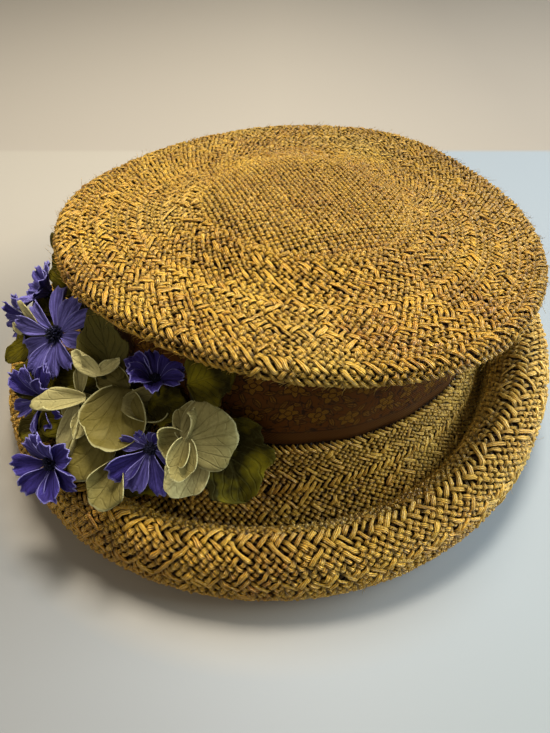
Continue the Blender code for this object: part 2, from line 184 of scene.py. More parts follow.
class Finish:
    """One material: a Principled shader and the nodes that feed it."""

    def __init__(self, name, **constants):
        self.material = bpy.data.materials.new(name)
        self.material.use_nodes = True
        self.tree = self.material.node_tree
        self.shader = self.tree.nodes["Principled BSDF"]
        for socket, value in constants.items():
            self.shader.inputs[socket.replace("_", " ")].default_value = value

    def node(self, kind, settings=None, inputs=None, output=0):
        node = self.tree.nodes.new(kind)
        for key, value in (settings or {}).items():
            setattr(node, key, value)
        for key, value in (inputs or {}).items():
            self.feed(node.inputs[key], value)
        return Value(self, node.outputs[output])

    def feed(self, socket, value):
        if isinstance(value, Value):
            self.tree.links.new(value.socket, socket)
        else:
            socket.default_value = value

    def maths(self, operation, *values):
        return self.node("ShaderNodeMath", {"operation": operation}, dict(enumerate(values)))

    def mix(self, factor, first, second):
        kind = {"data_type": "RGBA"}
        return self.node("ShaderNodeMix", kind, {0: factor, 6: first, 7: second}, output=2)

    def vector(self, operation, *values):
        return self.node("ShaderNodeVectorMath", {"operation": operation}, dict(enumerate(values)))

    def place(self):
        return self.node("ShaderNodeTexCoord", output="Object")

    def attribute(self, name):
        return self.node("ShaderNodeAttribute", {"attribute_name": name}, output="Vector")

    def axes(self, vector):
        """The three numbers of a vector."""
        parts = self.node("ShaderNodeSeparateXYZ", inputs={0: vector})
        return [Value(self, socket) for socket in parts.socket.node.outputs]

    def joined(self, x, y, z=0.0):
        return self.node("ShaderNodeCombineXYZ", inputs={0: x, 1: y, 2: z})

    def noise(self, vector, scale, detail, output=0):
        inputs = {"Vector": vector, "Scale": scale, "Detail": detail}
        return self.node("ShaderNodeTexNoise", inputs=inputs, output=output)

    def bump(self, height, distance, strength):
        inputs = {"Height": height, "Distance": distance, "Strength": strength}
        return self.node("ShaderNodeBump", inputs=inputs)

    def show(self, **links):
        for socket, value in links.items():
            self.feed(self.shader.inputs[socket.replace("_", " ")], value)
        return self.material


def colour(red, green, blue):
    return (red, green, blue, 1.0)


# Finishes

def straw_strand_finish():
    """Split golden straw: fibres and grooves along each strand, its own tone, painted shade where it dips and
    in its grooves, painted glints, and painted light and shade by where it sits on the hat.
    """
    finish = Finish("golden_straw", Specular_IOR_Level=0.38)
    along, around, tone = finish.axes(finish.attribute("lay"))
    level = finish.node("ShaderNodeAttribute", {"attribute_name": "level"}, output="Fac")
    wander = finish.noise(finish.joined(along * 0.12, tone * 40.0), 1.0, 1.0) - 0.5
    grooves = ((around + wander * 0.5) * (2.2 + tone * 1.6) + along * (tone - 0.2) * 0.5).wave(1.0)
    fibres = finish.noise(finish.joined(along * 0.7, around * 7.0, tone * 40.0), 1.0, 3.0)
    patches = finish.noise(finish.place(), 42.0, 3.0)
    blend = (tone * 0.5 + fibres * 0.9 + patches * 0.9 + grooves * 0.3 - 0.85).clamped()
    shade = finish.mix(blend, colour(0.36, 0.128, 0.004), colour(1.0, 0.59, 0.055))
    sunlit = finish.noise(finish.place(), 16.0, 3.0).between(0.5, 0.7) * 0.5
    shade = finish.mix(sunlit, shade, colour(0.92, 0.62, 0.11))
    # painted highlight: fine pale gold glints along the fibres
    painted_glints = finish.noise(finish.joined(along * 1.3, around * 9.0, tone * 23.0), 1.0, 2.0).between(0.52, 0.70)
    shade = finish.mix(painted_glints * 0.8, shade, colour(1.0, 0.80, 0.28))
    # painted shade: dim darkens the strand towards near black where it dips under a crossing and along its
    # grooves
    dim = (level.between(-0.8, 0.9) * 0.7 + grooves.between(0.0, 0.5) * 0.3).between(0.05, 0.9)
    shade = finish.mix(dim * dim, colour(0.014, 0.005, 0.001), shade)
    x, y, z = finish.axes(finish.place())
    # painted shade: the tip is darkened towards its back and right, where the light falls off
    painted_falloff_shade = (x * 0.7 + y * 1.3).between(-0.06, 0.14) * z.between(0.078, 0.085)
    shade = finish.mix(painted_falloff_shade * 0.40, shade, colour(0.10, 0.055, 0.008))
    # painted light: the brim's right side is lightened where the window light falls, most on the strands'
    # tops
    painted_side_light = x.between(0.04, 0.12) * (1.0 - z.between(0.055, 0.075))
    shade = finish.mix(painted_side_light * dim * 0.30, shade, colour(1.0, 0.72, 0.22))
    knobs = (level * (math.pi / 2.0)).maths("SINE") * 0.5
    relief = finish.bump(knobs + grooves * 0.4 + fibres * 0.7, 0.0012, 1.0)
    return finish.show(Base_Color=shade, Roughness=fibres * 0.2 + 0.34, Normal=relief)


# Crossed strands of the straw's back: number round the hat, and metres from one to the next.
BACK_STRANDS = 102.0
BACK_SPACING = 0.0038


def straw_ground_finish():
    """Back of the plaiting: painted shade, near black, between the strands above, fine crossed strands below.
    """
    finish = Finish("straw_back", Roughness=0.85, Specular_IOR_Level=0.1)
    place = finish.place()
    x, y, z = finish.axes(place)
    reach = finish.maths("SQRT", x * x + y * y)
    turn = finish.maths("ARCTAN2", y, x) * BACK_STRANDS
    rise = (reach - z) * (math.pi / BACK_SPACING)
    first = (turn + rise).maths("SINE").size()
    second = (turn - rise).maths("SINE").size()
    weave = first * second
    nx, ny, nz = finish.axes(finish.node("ShaderNodeNewGeometry", output="Normal"))
    outward = (nx * x + ny * y) / (reach + 0.001) + nz
    below = (0.0 - outward).between(-0.05, 0.05)
    streaks = finish.noise(place, 160.0, 3.0)
    dim, lit = colour(0.11, 0.05, 0.010), colour(0.60, 0.39, 0.10)
    plaited = finish.mix((weave * 0.7 + streaks * 0.5).clamped(), dim, lit)
    # painted shade: the shell's outer face is near black where it shows through the gaps between the strands
    gaps = finish.mix(streaks, colour(0.006, 0.002, 0.0005), colour(0.022, 0.008, 0.002))
    shade = finish.mix(below, gaps, plaited)
    return finish.show(Base_Color=shade, Normal=finish.bump(weave, 0.0009, 0.8))


# Height of the ribbon's plain lower border, and spacings of its ribs and twills, in millimetres.
PLAIN_BORDER = 6.3
RIB_SPACING = 0.55
TWILL_SPACING = 0.9
PLAIN_TWILL_SPACING = 1.5


def brocade_finish():
    """Old brocade: olive gold blooms, leaves and scrolls on red-brown, fine ribs and a plain edge."""
    finish = Finish("olive_brocade", Specular_IOR_Level=0.12)
    across, rise, _depth = finish.axes(finish.attribute("cloth"))
    place = finish.joined(across, rise)
    sway = finish.noise(place, 0.3, 2.0, output="Color")
    warped = finish.vector("MULTIPLY_ADD", sway, (1.8, 1.8, 0.0), place)

    def figure(scale, spread, shape):
        """A motif in every cell of a scattered layout; shape gets the place from the cell's middle."""
        settings = {"voronoi_dimensions": "2D"}
        inputs = {"Vector": warped, "Scale": scale, "Randomness": spread}
        middle = finish.node("ShaderNodeTexVoronoi", settings, inputs, output="Position")
        shade = Value(finish, middle.socket.node.outputs["Color"])
        chance, _green, _blue = finish.axes(shade)
        x, y, _z = finish.axes(finish.vector("SUBTRACT", warped, middle))
        return shape(x, y, chance)

    def bloom(x, y, chance):
        reach = finish.maths("SQRT", x * x + y * y)
        turn = finish.maths("ARCTAN2", y, x) + chance * 6.0
        edge = (turn * 5.0).maths("COSINE") * 0.85 + 3.3
        petals = (edge - reach).between(0.0, 0.3)
        outline = 1.0 - (edge - reach).size().between(0.1, 0.3)
        ring = 1.0 - (reach - 1.35).size().between(0.1, 0.25)
        gaps = 1.0 - (turn * 2.5).maths("COSINE").size().between(0.1, 0.3)
        divides = gaps * reach.between(1.6, 2.0) * petals
        return petals * 0.8 - outline.maths("MAXIMUM", ring).maths("MAXIMUM", divides) * 2.0

    def leaf(x, y, chance):
        lean = chance * 6.28
        sine, cosine = lean.maths("SINE"), lean.maths("COSINE")
        along = x * cosine + y * sine
        aside = (y * cosine - x * sine).size()
        body = (1.0 - along * along / 7.5) * 1.1 - aside
        midrib = (1.0 - aside.between(0.06, 0.16)) * body.between(0.0, 0.2)
        outline = (1.0 - body.size().between(0.08, 0.22)).maths("MAXIMUM", midrib)
        return body.between(0.0, 0.25) * 0.6 - outline * 1.6

    blooms = figure(0.085, 0.6, bloom)
    leaves = figure(0.19, 0.9, leaf)
    curl = finish.noise(warped, 0.22, 1.0)
    scrolls = 1.0 - (curl - 0.5).size().between(0.008, 0.02)
    clear = 1.0 - blooms.size().between(0.0, 0.1)
    drawn = blooms + (leaves - scrolls) * clear
    woven = drawn.clamped()
    drawn_dark = (0.0 - drawn).clamped()
    border = 1.0 - rise.between(PLAIN_BORDER, PLAIN_BORDER + 0.3)
    line = 1.0 - (rise - PLAIN_BORDER - 0.6).size().between(0.15, 0.35)
    woven = woven * (1.0 - border)
    drawn_dark = drawn_dark.maths("MAXIMUM", line) * (1.0 - border)
    ribs = rise.wave(RIB_SPACING)
    twill = (across + rise).wave(TWILL_SPACING)
    ground = finish.mix(ribs, colour(0.034, 0.009, 0.001), colour(0.120, 0.038, 0.001))
    gold = finish.mix(twill, colour(0.100, 0.040, 0.002), colour(0.210, 0.100, 0.004))
    plain_twill = (across - rise).wave(PLAIN_TWILL_SPACING)
    plain = finish.mix(plain_twill, colour(0.028, 0.008, 0.001), colour(0.095, 0.034, 0.002))
    worn = finish.noise(place, 0.12, 3.0)
    shade = finish.mix(woven, ground, gold)
    shade = finish.mix(drawn_dark * 0.85, shade, colour(0.006, 0.002, 0.001))
    shade = finish.mix(border, shade, plain)
    shade = finish.mix(worn.between(0.5, 0.8) * 0.35, shade, colour(0.080, 0.040, 0.008))
    relief = finish.bump(woven * 0.5 - drawn_dark * 0.5 + ribs * 0.25 + twill * 0.15, 0.0005, 0.9)
    return finish.show(Base_Color=shade, Roughness=0.62 - woven * 0.2, Normal=relief)


BLUE_PETALS = (
    # throat, body, lightest, rim, veins, where the rim starts, painted crease shade
    colour(0.011, 0.006, 0.070),
    colour(0.042, 0.031, 0.228),
    colour(0.21, 0.190, 0.61),
    colour(0.23, 0.22, 0.56),
    9.0,
    0.94,
    0.8,
)
PALE_PETALS = (
    # throat, body, lightest, rim, veins, where the rim starts, painted crease shade
    colour(0.058, 0.046, 0.006),
    colour(0.138, 0.112, 0.018),
    colour(0.60, 0.55, 0.26),
    colour(0.50, 0.48, 0.24),
    4.2,
    0.95,
    0.25,
)

# Plain cloths and threads: dark and light tone, and how fine their grain is.
EYE_THREAD_CLOTH = (colour(0.004, 0.004, 0.012), colour(0.014, 0.016, 0.05), 500.0)
STEM_CLOTH = (colour(0.014, 0.012, 0.004), colour(0.05, 0.045, 0.014), 700.0)
PETAL_STALK_CLOTH = (colour(0.03, 0.035, 0.01), colour(0.10, 0.10, 0.035), 500.0)


def petal_finish(name, deep, body, light, rim, veins_across, rim_from, painted_crease_shade):
    """Cloth petal: a deeper throat, branching veins, painted shade in dark streaks along its creases and
    folds, and a pale cut rim; tone makes a whole petal lighter.
    """
    finish = Finish(name, Specular_IOR_Level=0.2)
    aside, along, tone = finish.axes(finish.attribute("cloth"))
    grain = finish.noise(finish.place(), 1100.0, 2.0)
    blotch = finish.noise(finish.place(), 150.0, 3.0)
    fan = finish.node("ShaderNodeAttribute", {"attribute_name": "level"}, output="Fac")
    main = ((fan + (blotch - 0.5) * 0.09) * veins_across).wave(1.0).between(0.90, 1.0)
    branches = (fan.size() * veins_across * 0.7 - along * 4.0 + blotch * 0.8).wave(1.0).between(0.90, 1.0)
    veins = main.maths("MAXIMUM", branches * along.between(0.3, 0.6) * 0.6) * along.between(0.03, 0.15)
    shade = finish.mix((along + (blotch - 0.5) * 0.6).between(-0.05, 0.55), deep, body)
    shade = finish.mix((tone + (blotch - 0.5) * 0.3).clamped(), shade, light)
    # painted shade: dark streaks along the petal stand in for the shade in its creases and folds
    streaks = finish.noise(finish.joined(fan * 9.0, along * 1.2, tone * 9.0), 1.6, 3.0)
    shade = finish.mix(streaks.between(0.35, 0.68) * painted_crease_shade, shade, deep)
    shade = finish.mix(veins * 0.16, shade, deep)
    shade = finish.mix((grain - 0.35).clamped() * 0.5, shade, deep)
    edge = aside.size().maths("MAXIMUM", along)
    shade = finish.mix((edge + (blotch - 0.5) * 0.08).between(rim_from, rim_from + 0.06), shade, rim)
    relief = finish.bump(grain * 0.3 - veins * 0.5, 0.0006, 0.8)
    return finish.show(Base_Color=shade, Roughness=grain * 0.2 + 0.6, Normal=relief)


def plain_cloth_finish(name, dark, light, scale):
    """Matte cloth or thread with a fine uneven tone."""
    finish = Finish(name, Specular_IOR_Level=0.2)
    grain = finish.noise(finish.place(), scale, 3.0)
    shade = finish.mix(grain.between(0.3, 0.7), dark, light)
    return finish.show(Base_Color=shade, Roughness=grain * 0.2 + 0.6, Normal=finish.bump(grain, 0.0004, 0.6))


# Side veins of a leaf: how far their ends lean back, and from one to the next in shares of its length.
VEIN_SPREAD = 0.55
VEIN_SPACING = 0.17


def velvet_finish():
    """Dark olive velvet: brushed patches, and veins where the pile lies down; tone makes a leaf paler."""
    sheen = {"Sheen_Weight": 0.1, "Sheen_Roughness": 0.4, "Sheen_Tint": colour(0.6, 0.6, 0.2)}
    finish = Finish("olive_velvet", Roughness=0.9, Specular_IOR_Level=0.08, **sheen)
    aside, along, tone = finish.axes(finish.attribute("cloth"))
    pile = finish.noise(finish.place(), 700.0, 2.0)
    brushed = finish.noise(finish.place(), 95.0, 3.0)
    side_veins = (aside.size() * VEIN_SPREAD - along).wave(VEIN_SPACING).between(0.82, 1.0)
    midrib = 1.0 - aside.size().between(0.02, 0.07)
    veins = side_veins.maths("MAXIMUM", midrib)
    shade = finish.mix(brushed.between(0.42, 0.72), colour(0.018, 0.014, 0.001), colour(0.180, 0.150, 0.007))
    shade = finish.mix(tone.between(0.5, 1.0) * 0.8, shade, colour(0.120, 0.105, 0.030))
    shade = finish.mix(veins * 0.10, shade, colour(0.10, 0.09, 0.03))
    shade = finish.mix(pile.between(0.5, 0.8) * 0.5, shade, colour(0.05, 0.05, 0.015))
    return finish.show(Base_Color=shade, Normal=finish.bump(pile * 0.4 - veins * 0.8, 0.0006, 0.8))


# Meshes

def add_mesh(name, points, faces, finish, slot, attribute=None):
    """A piece from millimetre points and lists of equal faces, riding on the hat."""
    mesh = bpy.data.meshes.new(name)
    points = np.asarray(points, float) + (HAT_SHIFT_X, 0.0, 0.0)
    mesh.vertices.add(len(points))
    mesh.vertices.foreach_set("co", (points * MM).ravel())
    sizes = np.concatenate([np.full(len(group), group.shape[1]) for group in faces])
    corners = np.concatenate([group.ravel() for group in faces])
    mesh.loops.add(len(corners))
    mesh.loops.foreach_set("vertex_index", corners.astype(np.int32))
    mesh.polygons.add(len(sizes))
    starts = np.concatenate([[0], np.cumsum(sizes)[:-1]])
    mesh.polygons.foreach_set("loop_start", starts.astype(np.int32))
    mesh.polygons.foreach_set("use_smooth", np.ones(len(sizes), bool))
    if attribute:
        label, values = attribute
        layer = mesh.attributes.new(label, "FLOAT_VECTOR", "POINT")
        layer.data.foreach_set("vector", np.asarray(values[:, :3], np.float32).ravel())
        if values.shape[1] > 3:
            layer = mesh.attributes.new("level", "FLOAT", "POINT")
            layer.data.foreach_set("value", np.asarray(values[:, 3], np.float32).ravel())
    mesh.update(calc_edges=True)
    mesh.materials.append(finish)
    piece = bpy.data.objects.new(name, mesh)
    bpy.context.scene.collection.objects.link(piece)
    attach(piece, "root")
    return piece


class Heap:
    """Points, faces and notes of many small shapes, to become one mesh, and the flat cuts of its cloth."""

    def __init__(self):
        self.points, self.quads, self.triangles, self.notes, self.cuts = [], [], [], [], []
        self.count = 0

    def add(self, points, quads, triangles, notes):
        self.points.append(points)
        self.quads.append(quads + self.count)
        self.triangles.append(triangles + self.count)
        self.notes.append(notes)
        self.count += len(points)

    def mesh(self, name, finish, slot, label):
        faces = [np.concatenate(self.quads), np.concatenate(self.triangles)]
        faces = [group for group in faces if len(group)]
        notes = (label, np.concatenate(self.notes))
        return add_mesh(name, np.concatenate(self.points), faces, finish, slot, notes)


def unit(vectors):
    return vectors / np.maximum(np.linalg.norm(vectors, axis=-1, keepdims=True), 1e-9)


def add_tubes(heap, paths, normals, widths, depths, sides, tones, levels=None):
    """Closed tubes round paths of equal count, paths x samples x 3; levels says how high each sample lies."""
    strands, samples, _three = paths.shape
    along = unit(np.gradient(paths, axis=1))
    across = unit(np.cross(along, normals))
    over = np.cross(across, along)
    turn = 2.0 * np.pi * (np.arange(sides) + 0.5) / sides - np.pi / 2.0
    ring = (
        paths[:, :, None]
        + across[:, :, None] * (np.cos(turn)[None, None] * widths[:, :, None] / 2.0)[..., None]
        + over[:, :, None] * (np.sin(turn)[None, None] * depths[:, :, None] / 2.0)[..., None]
    )
    points = ring.reshape(-1, 3)
    base = (np.arange(strands)[:, None, None] * samples + np.arange(samples - 1)[None, :, None]) * sides
    side = np.arange(sides)[None, None]
    other = (side + 1) % sides
    quads = np.stack([base + side, base + sides + side, base + sides + other, base + other], -1)
    first = np.arange(strands)[:, None] * samples * sides
    last = first + (samples - 1) * sides
    middle = len(points) + np.arange(strands)[:, None] * 2
    side, other = side[0], other[0]
    wide = np.broadcast_to
    shape = (strands, sides)
    start_cap = np.stack([wide(middle, shape), first + side, first + other], -1)
    end_cap = np.stack([wide(middle + 1, shape), last + other, last + side], -1)
    ends = np.stack([paths[:, 0], paths[:, -1]], 1).reshape(-1, 3)
    steps = np.linalg.norm(np.diff(paths, axis=1), axis=2)
    run = np.concatenate([np.zeros((strands, 1)), np.cumsum(steps, 1)], 1)
    notes = np.ones((strands, samples, sides, 4))
    notes[..., 0] = run[:, :, None]
    notes[..., 1] = np.cos(turn)[None, None] * 0.5
    notes[..., 2] = tones[:, None, None]
    if levels is not None:
        notes[..., 3] = levels[:, :, None]
    end_notes = np.stack([notes[:, 0, 0], notes[:, -1, 0]], 1).reshape(-1, 4)
    heap.add(
        np.concatenate([points, ends]),
        quads.reshape(-1, 4),
        np.concatenate([start_cap.reshape(-1, 3), end_cap.reshape(-1, 3)]),
        np.concatenate([notes.reshape(-1, 4), end_notes]),
    )


def add_sheet(heap, grid, thickness, notes):
    """Closed thin sheet from a grid of points, rows x columns x 3, with notes of the same shape."""
    rows, columns, _three = grid.shape
    normal = unit(np.cross(np.gradient(grid, axis=1), np.gradient(grid, axis=0)))
    top = grid + normal * thickness / 2.0
    under = grid - normal * thickness / 2.0
    points = np.concatenate([top.reshape(-1, 3), under.reshape(-1, 3)])
    number = np.arange(rows * columns).reshape(rows, columns)
    a, b, c, d = number[:-1, :-1], number[:-1, 1:], number[1:, 1:], number[1:, :-1]
    upper = np.stack([a, b, c, d], -1).reshape(-1, 4)
    lower = np.stack([d, c, b, a], -1).reshape(-1, 4) + rows * columns
    rim = np.concatenate([number[0, :-1], number[:-1, -1], number[-1, :0:-1], number[:0:-1, 0]])
    after = np.roll(rim, -1)
    wall = np.stack([after, rim, rim + rows * columns, after + rows * columns], -1)
    flat = notes.reshape(-1, notes.shape[-1])
    none = np.empty((0, 3), int)
    heap.add(points, np.concatenate([upper, lower, wall]), none, np.concatenate([flat, flat]))


# The hat's surfaces

def smooth_step(low, high, value):
    t = np.clip((value - low) / (high - low), 0.0, 1.0)
    return t * t * (3.0 - 2.0 * t)


def full_turn(corners):
    """Turns and angles of evenly spaced corners, from +X."""
    turns = np.arange(corners) / corners
    return turns, turns * 2.0 * np.pi


def spline(before, start, end, after, t):
    """Catmull-Rom value between start and end."""
    return 0.5 * (
        2.0 * start
        + (end - before) * t
        + (2.0 * before - 5.0 * start + 4.0 * end - after) * t * t
        + (3.0 * start - before - 3.0 * end + after) * t * t * t
    )


def round_values(table, column, turns):
    """Smooth values of a column of a table whose rows are spaced evenly round a circle."""
    values = np.array([row[column] for row in table])
    place = (turns % 1.0) * len(values)
    row = place.astype(int) % len(values)
    near = [values[(row + step) % len(values)] for step in (-1, 0, 1, 2)]
    return spline(*near, place - np.floor(place))


def tip_plane(x, y):
    return TIP_SLOPE_X * (x - TIP_CENTRE_X) + TIP_SLOPE_Y * y


class Surface:
    """Sections round the hat's axis, with a point and a normal at any turn and share of the way out."""

    def __init__(self, rows, shares):
        self.rows = rows
        self.shares = shares
        ahead = np.roll(rows, -1, axis=1) - np.roll(rows, 1, axis=1)
        along = np.gradient(rows, axis=0)
        self.normals = unit(np.cross(along, ahead))

    def read(self, grid, turns, shares):
        row = np.interp(shares, self.shares, np.arange(len(self.shares)))
        low = np.minimum(row.astype(int), len(self.shares) - 2)
        part = (row - low)[..., None]
        corner = (turns % 1.0) * grid.shape[1]
        left = corner.astype(int) % grid.shape[1]
        right = (left + 1) % grid.shape[1]
        share = (corner - np.floor(corner))[..., None]
        near = grid[low, left] * (1.0 - share) + grid[low, right] * share
        far = grid[low + 1, left] * (1.0 - share) + grid[low + 1, right] * share
        return near * (1.0 - part) + far * part

    def at(self, turns, shares, height):
        """Points at this height over the surface, and the directions that its normals have there."""
        normal = unit(self.read(self.normals, turns, shares))
        return self.read(self.rows, turns, shares) + normal * height[..., None], normal


SURFACE_CORNERS = 360
TIP_STEPS = 48
TIP_FIRST_PART = 0.002
FOLD_STEPS = 10
FOLD_SHARE = 0.095

# Ring under the tip's edge: steps, share, and how far it reaches inwards and down.
UNDER_STEPS = 4
UNDER_SHARE = 0.10
UNDER_REACH = 10.0
UNDER_DROP = 3.0


def tip_surface():
    """Top of the crown tip, over the folded edge, and a little way back under it."""
    turns, angles = full_turn(SURFACE_CORNERS)
    edge = round_values(TIP_EDGE, 0, turns)
    rise = round_values(TIP_EDGE, 1, turns)
    rows, shares = [], []

    def add_row(reach, height, share):
        x = TIP_CENTRE_X + reach * np.cos(angles)
        y = reach * np.sin(angles)
        rows.append(np.stack([x, y, TIP_HEIGHT + tip_plane(x, y) + height], -1))
        shares.append(share)

    for part in np.linspace(TIP_FIRST_PART, 1.0, TIP_STEPS):
        dome = DOME_HEIGHT * (1.0 - smooth_step(DOME_FLAT, DOME_FOOT, part))
        add_row(part * (edge - TIP_FOLD_RADIUS), rise * part * part + dome, part)
    for step in range(1, FOLD_STEPS + 1):
        fold = math.radians(90.0 - 180.0 * step / FOLD_STEPS)
        reach = edge - TIP_FOLD_RADIUS + TIP_FOLD_RADIUS * math.cos(fold)
        height = rise + TIP_FOLD_RADIUS * (math.sin(fold) - 1.0)
        add_row(reach, height, 1.0 + FOLD_SHARE * step / FOLD_STEPS)
    for step in range(1, UNDER_STEPS + 1):
        share = step / UNDER_STEPS
        reach = edge - TIP_FOLD_RADIUS - UNDER_REACH * share
        height = rise - 2.0 * TIP_FOLD_RADIUS - UNDER_DROP * share
        add_row(reach, height, 1.0 + FOLD_SHARE + UNDER_SHARE * share)
    return Surface(np.array(rows), np.array(shares))


SECTION_SAMPLES = 10


def brim_surface():
    """The brim from the crown's foot, over valley and crest, to the hem."""
    turns, angles = full_turn(SURFACE_CORNERS)
    columns = [round_values(BRIM_SECTIONS, column, turns) for column in range(8)]
    valley_r, valley_z, lip_r, lip_z, crest_r, crest_z, girth_r, girth_z = columns
    aside = WALL_FOOT_X * np.sin(angles)
    start = WALL_FOOT_X * np.cos(angles) + np.sqrt(BRIM_INNER_RADIUS ** 2 - aside ** 2)
    controls = [
        (start, np.full_like(start, BRIM_TOP)),
        (start + SLOPE_OUT * (valley_r - start), BRIM_TOP - SLOPE_DOWN * (BRIM_TOP - valley_z)),
        (valley_r, valley_z),
        (lip_r, lip_z),
        (crest_r, crest_z),
        (
            crest_r + SHOULDER_OUT * (girth_r - crest_r),
            crest_z - SHOULDER_DOWN * (crest_z - girth_z),
        ),
        (girth_r, girth_z),
        (girth_r - TUCK_IN * HEM_INSET, TUCK_HEIGHT * girth_z),
        (girth_r - HEM_INSET, np.zeros_like(start)),
    ]
    last = len(controls) - 1
    rows = []
    for place in np.linspace(0.0, last, last * SECTION_SAMPLES + 1):
        span = min(int(place), last - 1)
        near = [controls[max(0, min(last, span + step))] for step in (-1, 0, 1, 2)]
        reach, height = (spline(*[point[axis] for point in near], place - span) for axis in range(2))
        rows.append(np.stack([reach * np.cos(angles), reach * np.sin(angles), height], -1))
    rows = np.array(rows)
    steps = np.linalg.norm(np.diff(rows, axis=0), axis=2).mean(1)
    shares = np.concatenate([[0.0], np.cumsum(steps)])
    return Surface(rows, shares)


# Plaiting

def plain(a, b, row):
    return row % 2 == 0


def basket(a, b, row):
    """Blocks of three strands over three."""
    return (a // 3 + b // 3) % 2 == 0


def small_basket(a, b, row):
    """Blocks of two strands over two."""
    return (a // 2 + b // 2) % 2 == 0


def edge_floats(a, b, row):
    """Rows of strands that all lean one way, then the other way."""
    return row % 4 < 2


# Share of the crossings that slip, and large uneven steps that scatter them over the weave.
SLIPPED_SHARE = 0.05
FORWARD_STEP = 12.9898
BACKWARD_STEP = 78.233
SCATTER = 43758.5453


def crossings_over(patterns, a, b, row, strands):
    """Which crossings have the forward strand on top; a few slip. Each pattern starts at its first row."""
    over = np.zeros(np.broadcast(a, b, row).shape, bool)
    for start, pattern in patterns:
        over = np.where(row >= start, pattern(a, b, row), over)
    chance = np.sin((a % strands) * FORWARD_STEP + (b % strands) * BACKWARD_STEP) * SCATTER
    return over ^ (chance % 1.0 < SLIPPED_SHARE)


ROW_SAMPLES = 400
ROUND_SAMPLES = 24


def row_places(surface, strands, first, last):
    """Shares of the way at which the rows of crossings lie, and how far apart the strands start from each."""
    fine = np.linspace(first, last, ROW_SAMPLES)
    around = np.linspace(0.0, 1.0, ROUND_SAMPLES, endpoint=False)
    points = surface.read(surface.rows, *np.broadcast_arrays(around[None], fine[:, None]))
    centre = points.mean(1, keepdims=True)
    reach = np.linalg.norm((points - centre)[..., :2], axis=2).mean(1)
    steps = np.linalg.norm(np.diff(points, axis=0), axis=2).mean(1)
    half_round = np.pi * (reach[1:] + reach[:-1]) / 2.0
    rows = np.concatenate([[0.0], np.cumsum(steps / (half_round / strands))])
    count = int(round(rows[-1]))
    shares = np.interp(np.linspace(0.0, rows[-1], count + 1), rows, fine)
    return shares, np.interp(shares, fine, reach) * 2.0 * np.pi / strands


def strand_sizes(spacing, level, own_width, unevenness):
    """Widths, depths and heights of strands at their crossings; level is 1 on top and -1 below."""
    wide, high = unevenness
    width = spacing * STRAND_WIDTH * (1.0 + UPPER_WIDER * level) * (1.0 + OWN_WIDTH_SPREAD * own_width)
    width = width * (1.0 + wide * rng.standard_normal(level.shape))
    depth = spacing * STRAND_DEPTH * (1.0 + DEPTH_SPREAD * rng.standard_normal(level.shape))
    height = STRAND_LIFT + spacing * CROSSING_RISE * level + high * rng.standard_normal(level.shape)
    height[..., [0, -1]] -= END_DIP
    return width, depth, height


def strand_tones(spread, count):
    return np.clip(rng.normal(0.5, spread, count), 0.0, 1.0)


def plait(heaps, surface, strands, first, last, patterns, shear):
    """Two families of strands that lean opposite ways and cross over and under each other.

    For each family, heaps lists the heaps that its strands are shared out to, in order.
    """
    shares, apart = row_places(surface, strands, first, last)
    count = len(shares) - 1
    rows = np.arange(count + 1)[None]
    index = np.arange(strands)[:, None]
    for family, lean in enumerate((0.5 + shear, shear - 0.5)):
        a, b = (index, index + rows) if family == 0 else (index - rows, index)
        over = crossings_over(patterns(count), a, b, rows, strands)
        level = np.where(over == (family == 0), 1.0, -1.0)
        spacing = apart * (0.5 / math.hypot(lean, 0.5) + math.sqrt(0.5)) / 2.0
        own_width = rng.standard_normal((strands, 1))
        width, depth, height = strand_sizes(spacing, level, own_width, PLAIT_UNEVENNESS)
        sway = strand_sway(strands, count + 1) + PLACE_SPREAD * rng.standard_normal(level.shape)
        turns = (index + lean * rows + sway) / strands
        paths, normals = surface.at(turns, np.broadcast_to(shares, turns.shape), height)
        paths[..., 2] = np.maximum(paths[..., 2], STRAND_FLOOR)
        tones = strand_tones(PLAIT_TONE_SPREAD, strands)
        parts = np.array_split(np.arange(strands), len(heaps[family]))
        for heap, part in zip(heaps[family], parts):
            strand = (paths[part], normals[part], width[part], depth[part])
            add_tubes(heap, *strand, STRAND_SIDES, tones[part], level[part])


def strand_sway(strands, samples):
    """Small smooth wanderings of the strands from their even places, in strand spacings."""
    coarse = rng.standard_normal((strands, samples // 3 + 3))
    spots = np.linspace(0.0, coarse.shape[1] - 1.001, samples)
    low = spots.astype(int)
    part = spots - low
    return SWAY * (coarse[:, low] * (1.0 - part) + coarse[:, low + 1] * part)


# Square weave of the tip's middle: its lean, and its other sizes in millimetres.
MIDDLE_LEAN = math.radians(20.0)
MIDDLE_REACH = 47.5
MIDDLE_SPACING = 2.05
MIDDLE_SWAY = 0.2
MIDDLE_PLACE_SPREAD = 0.1


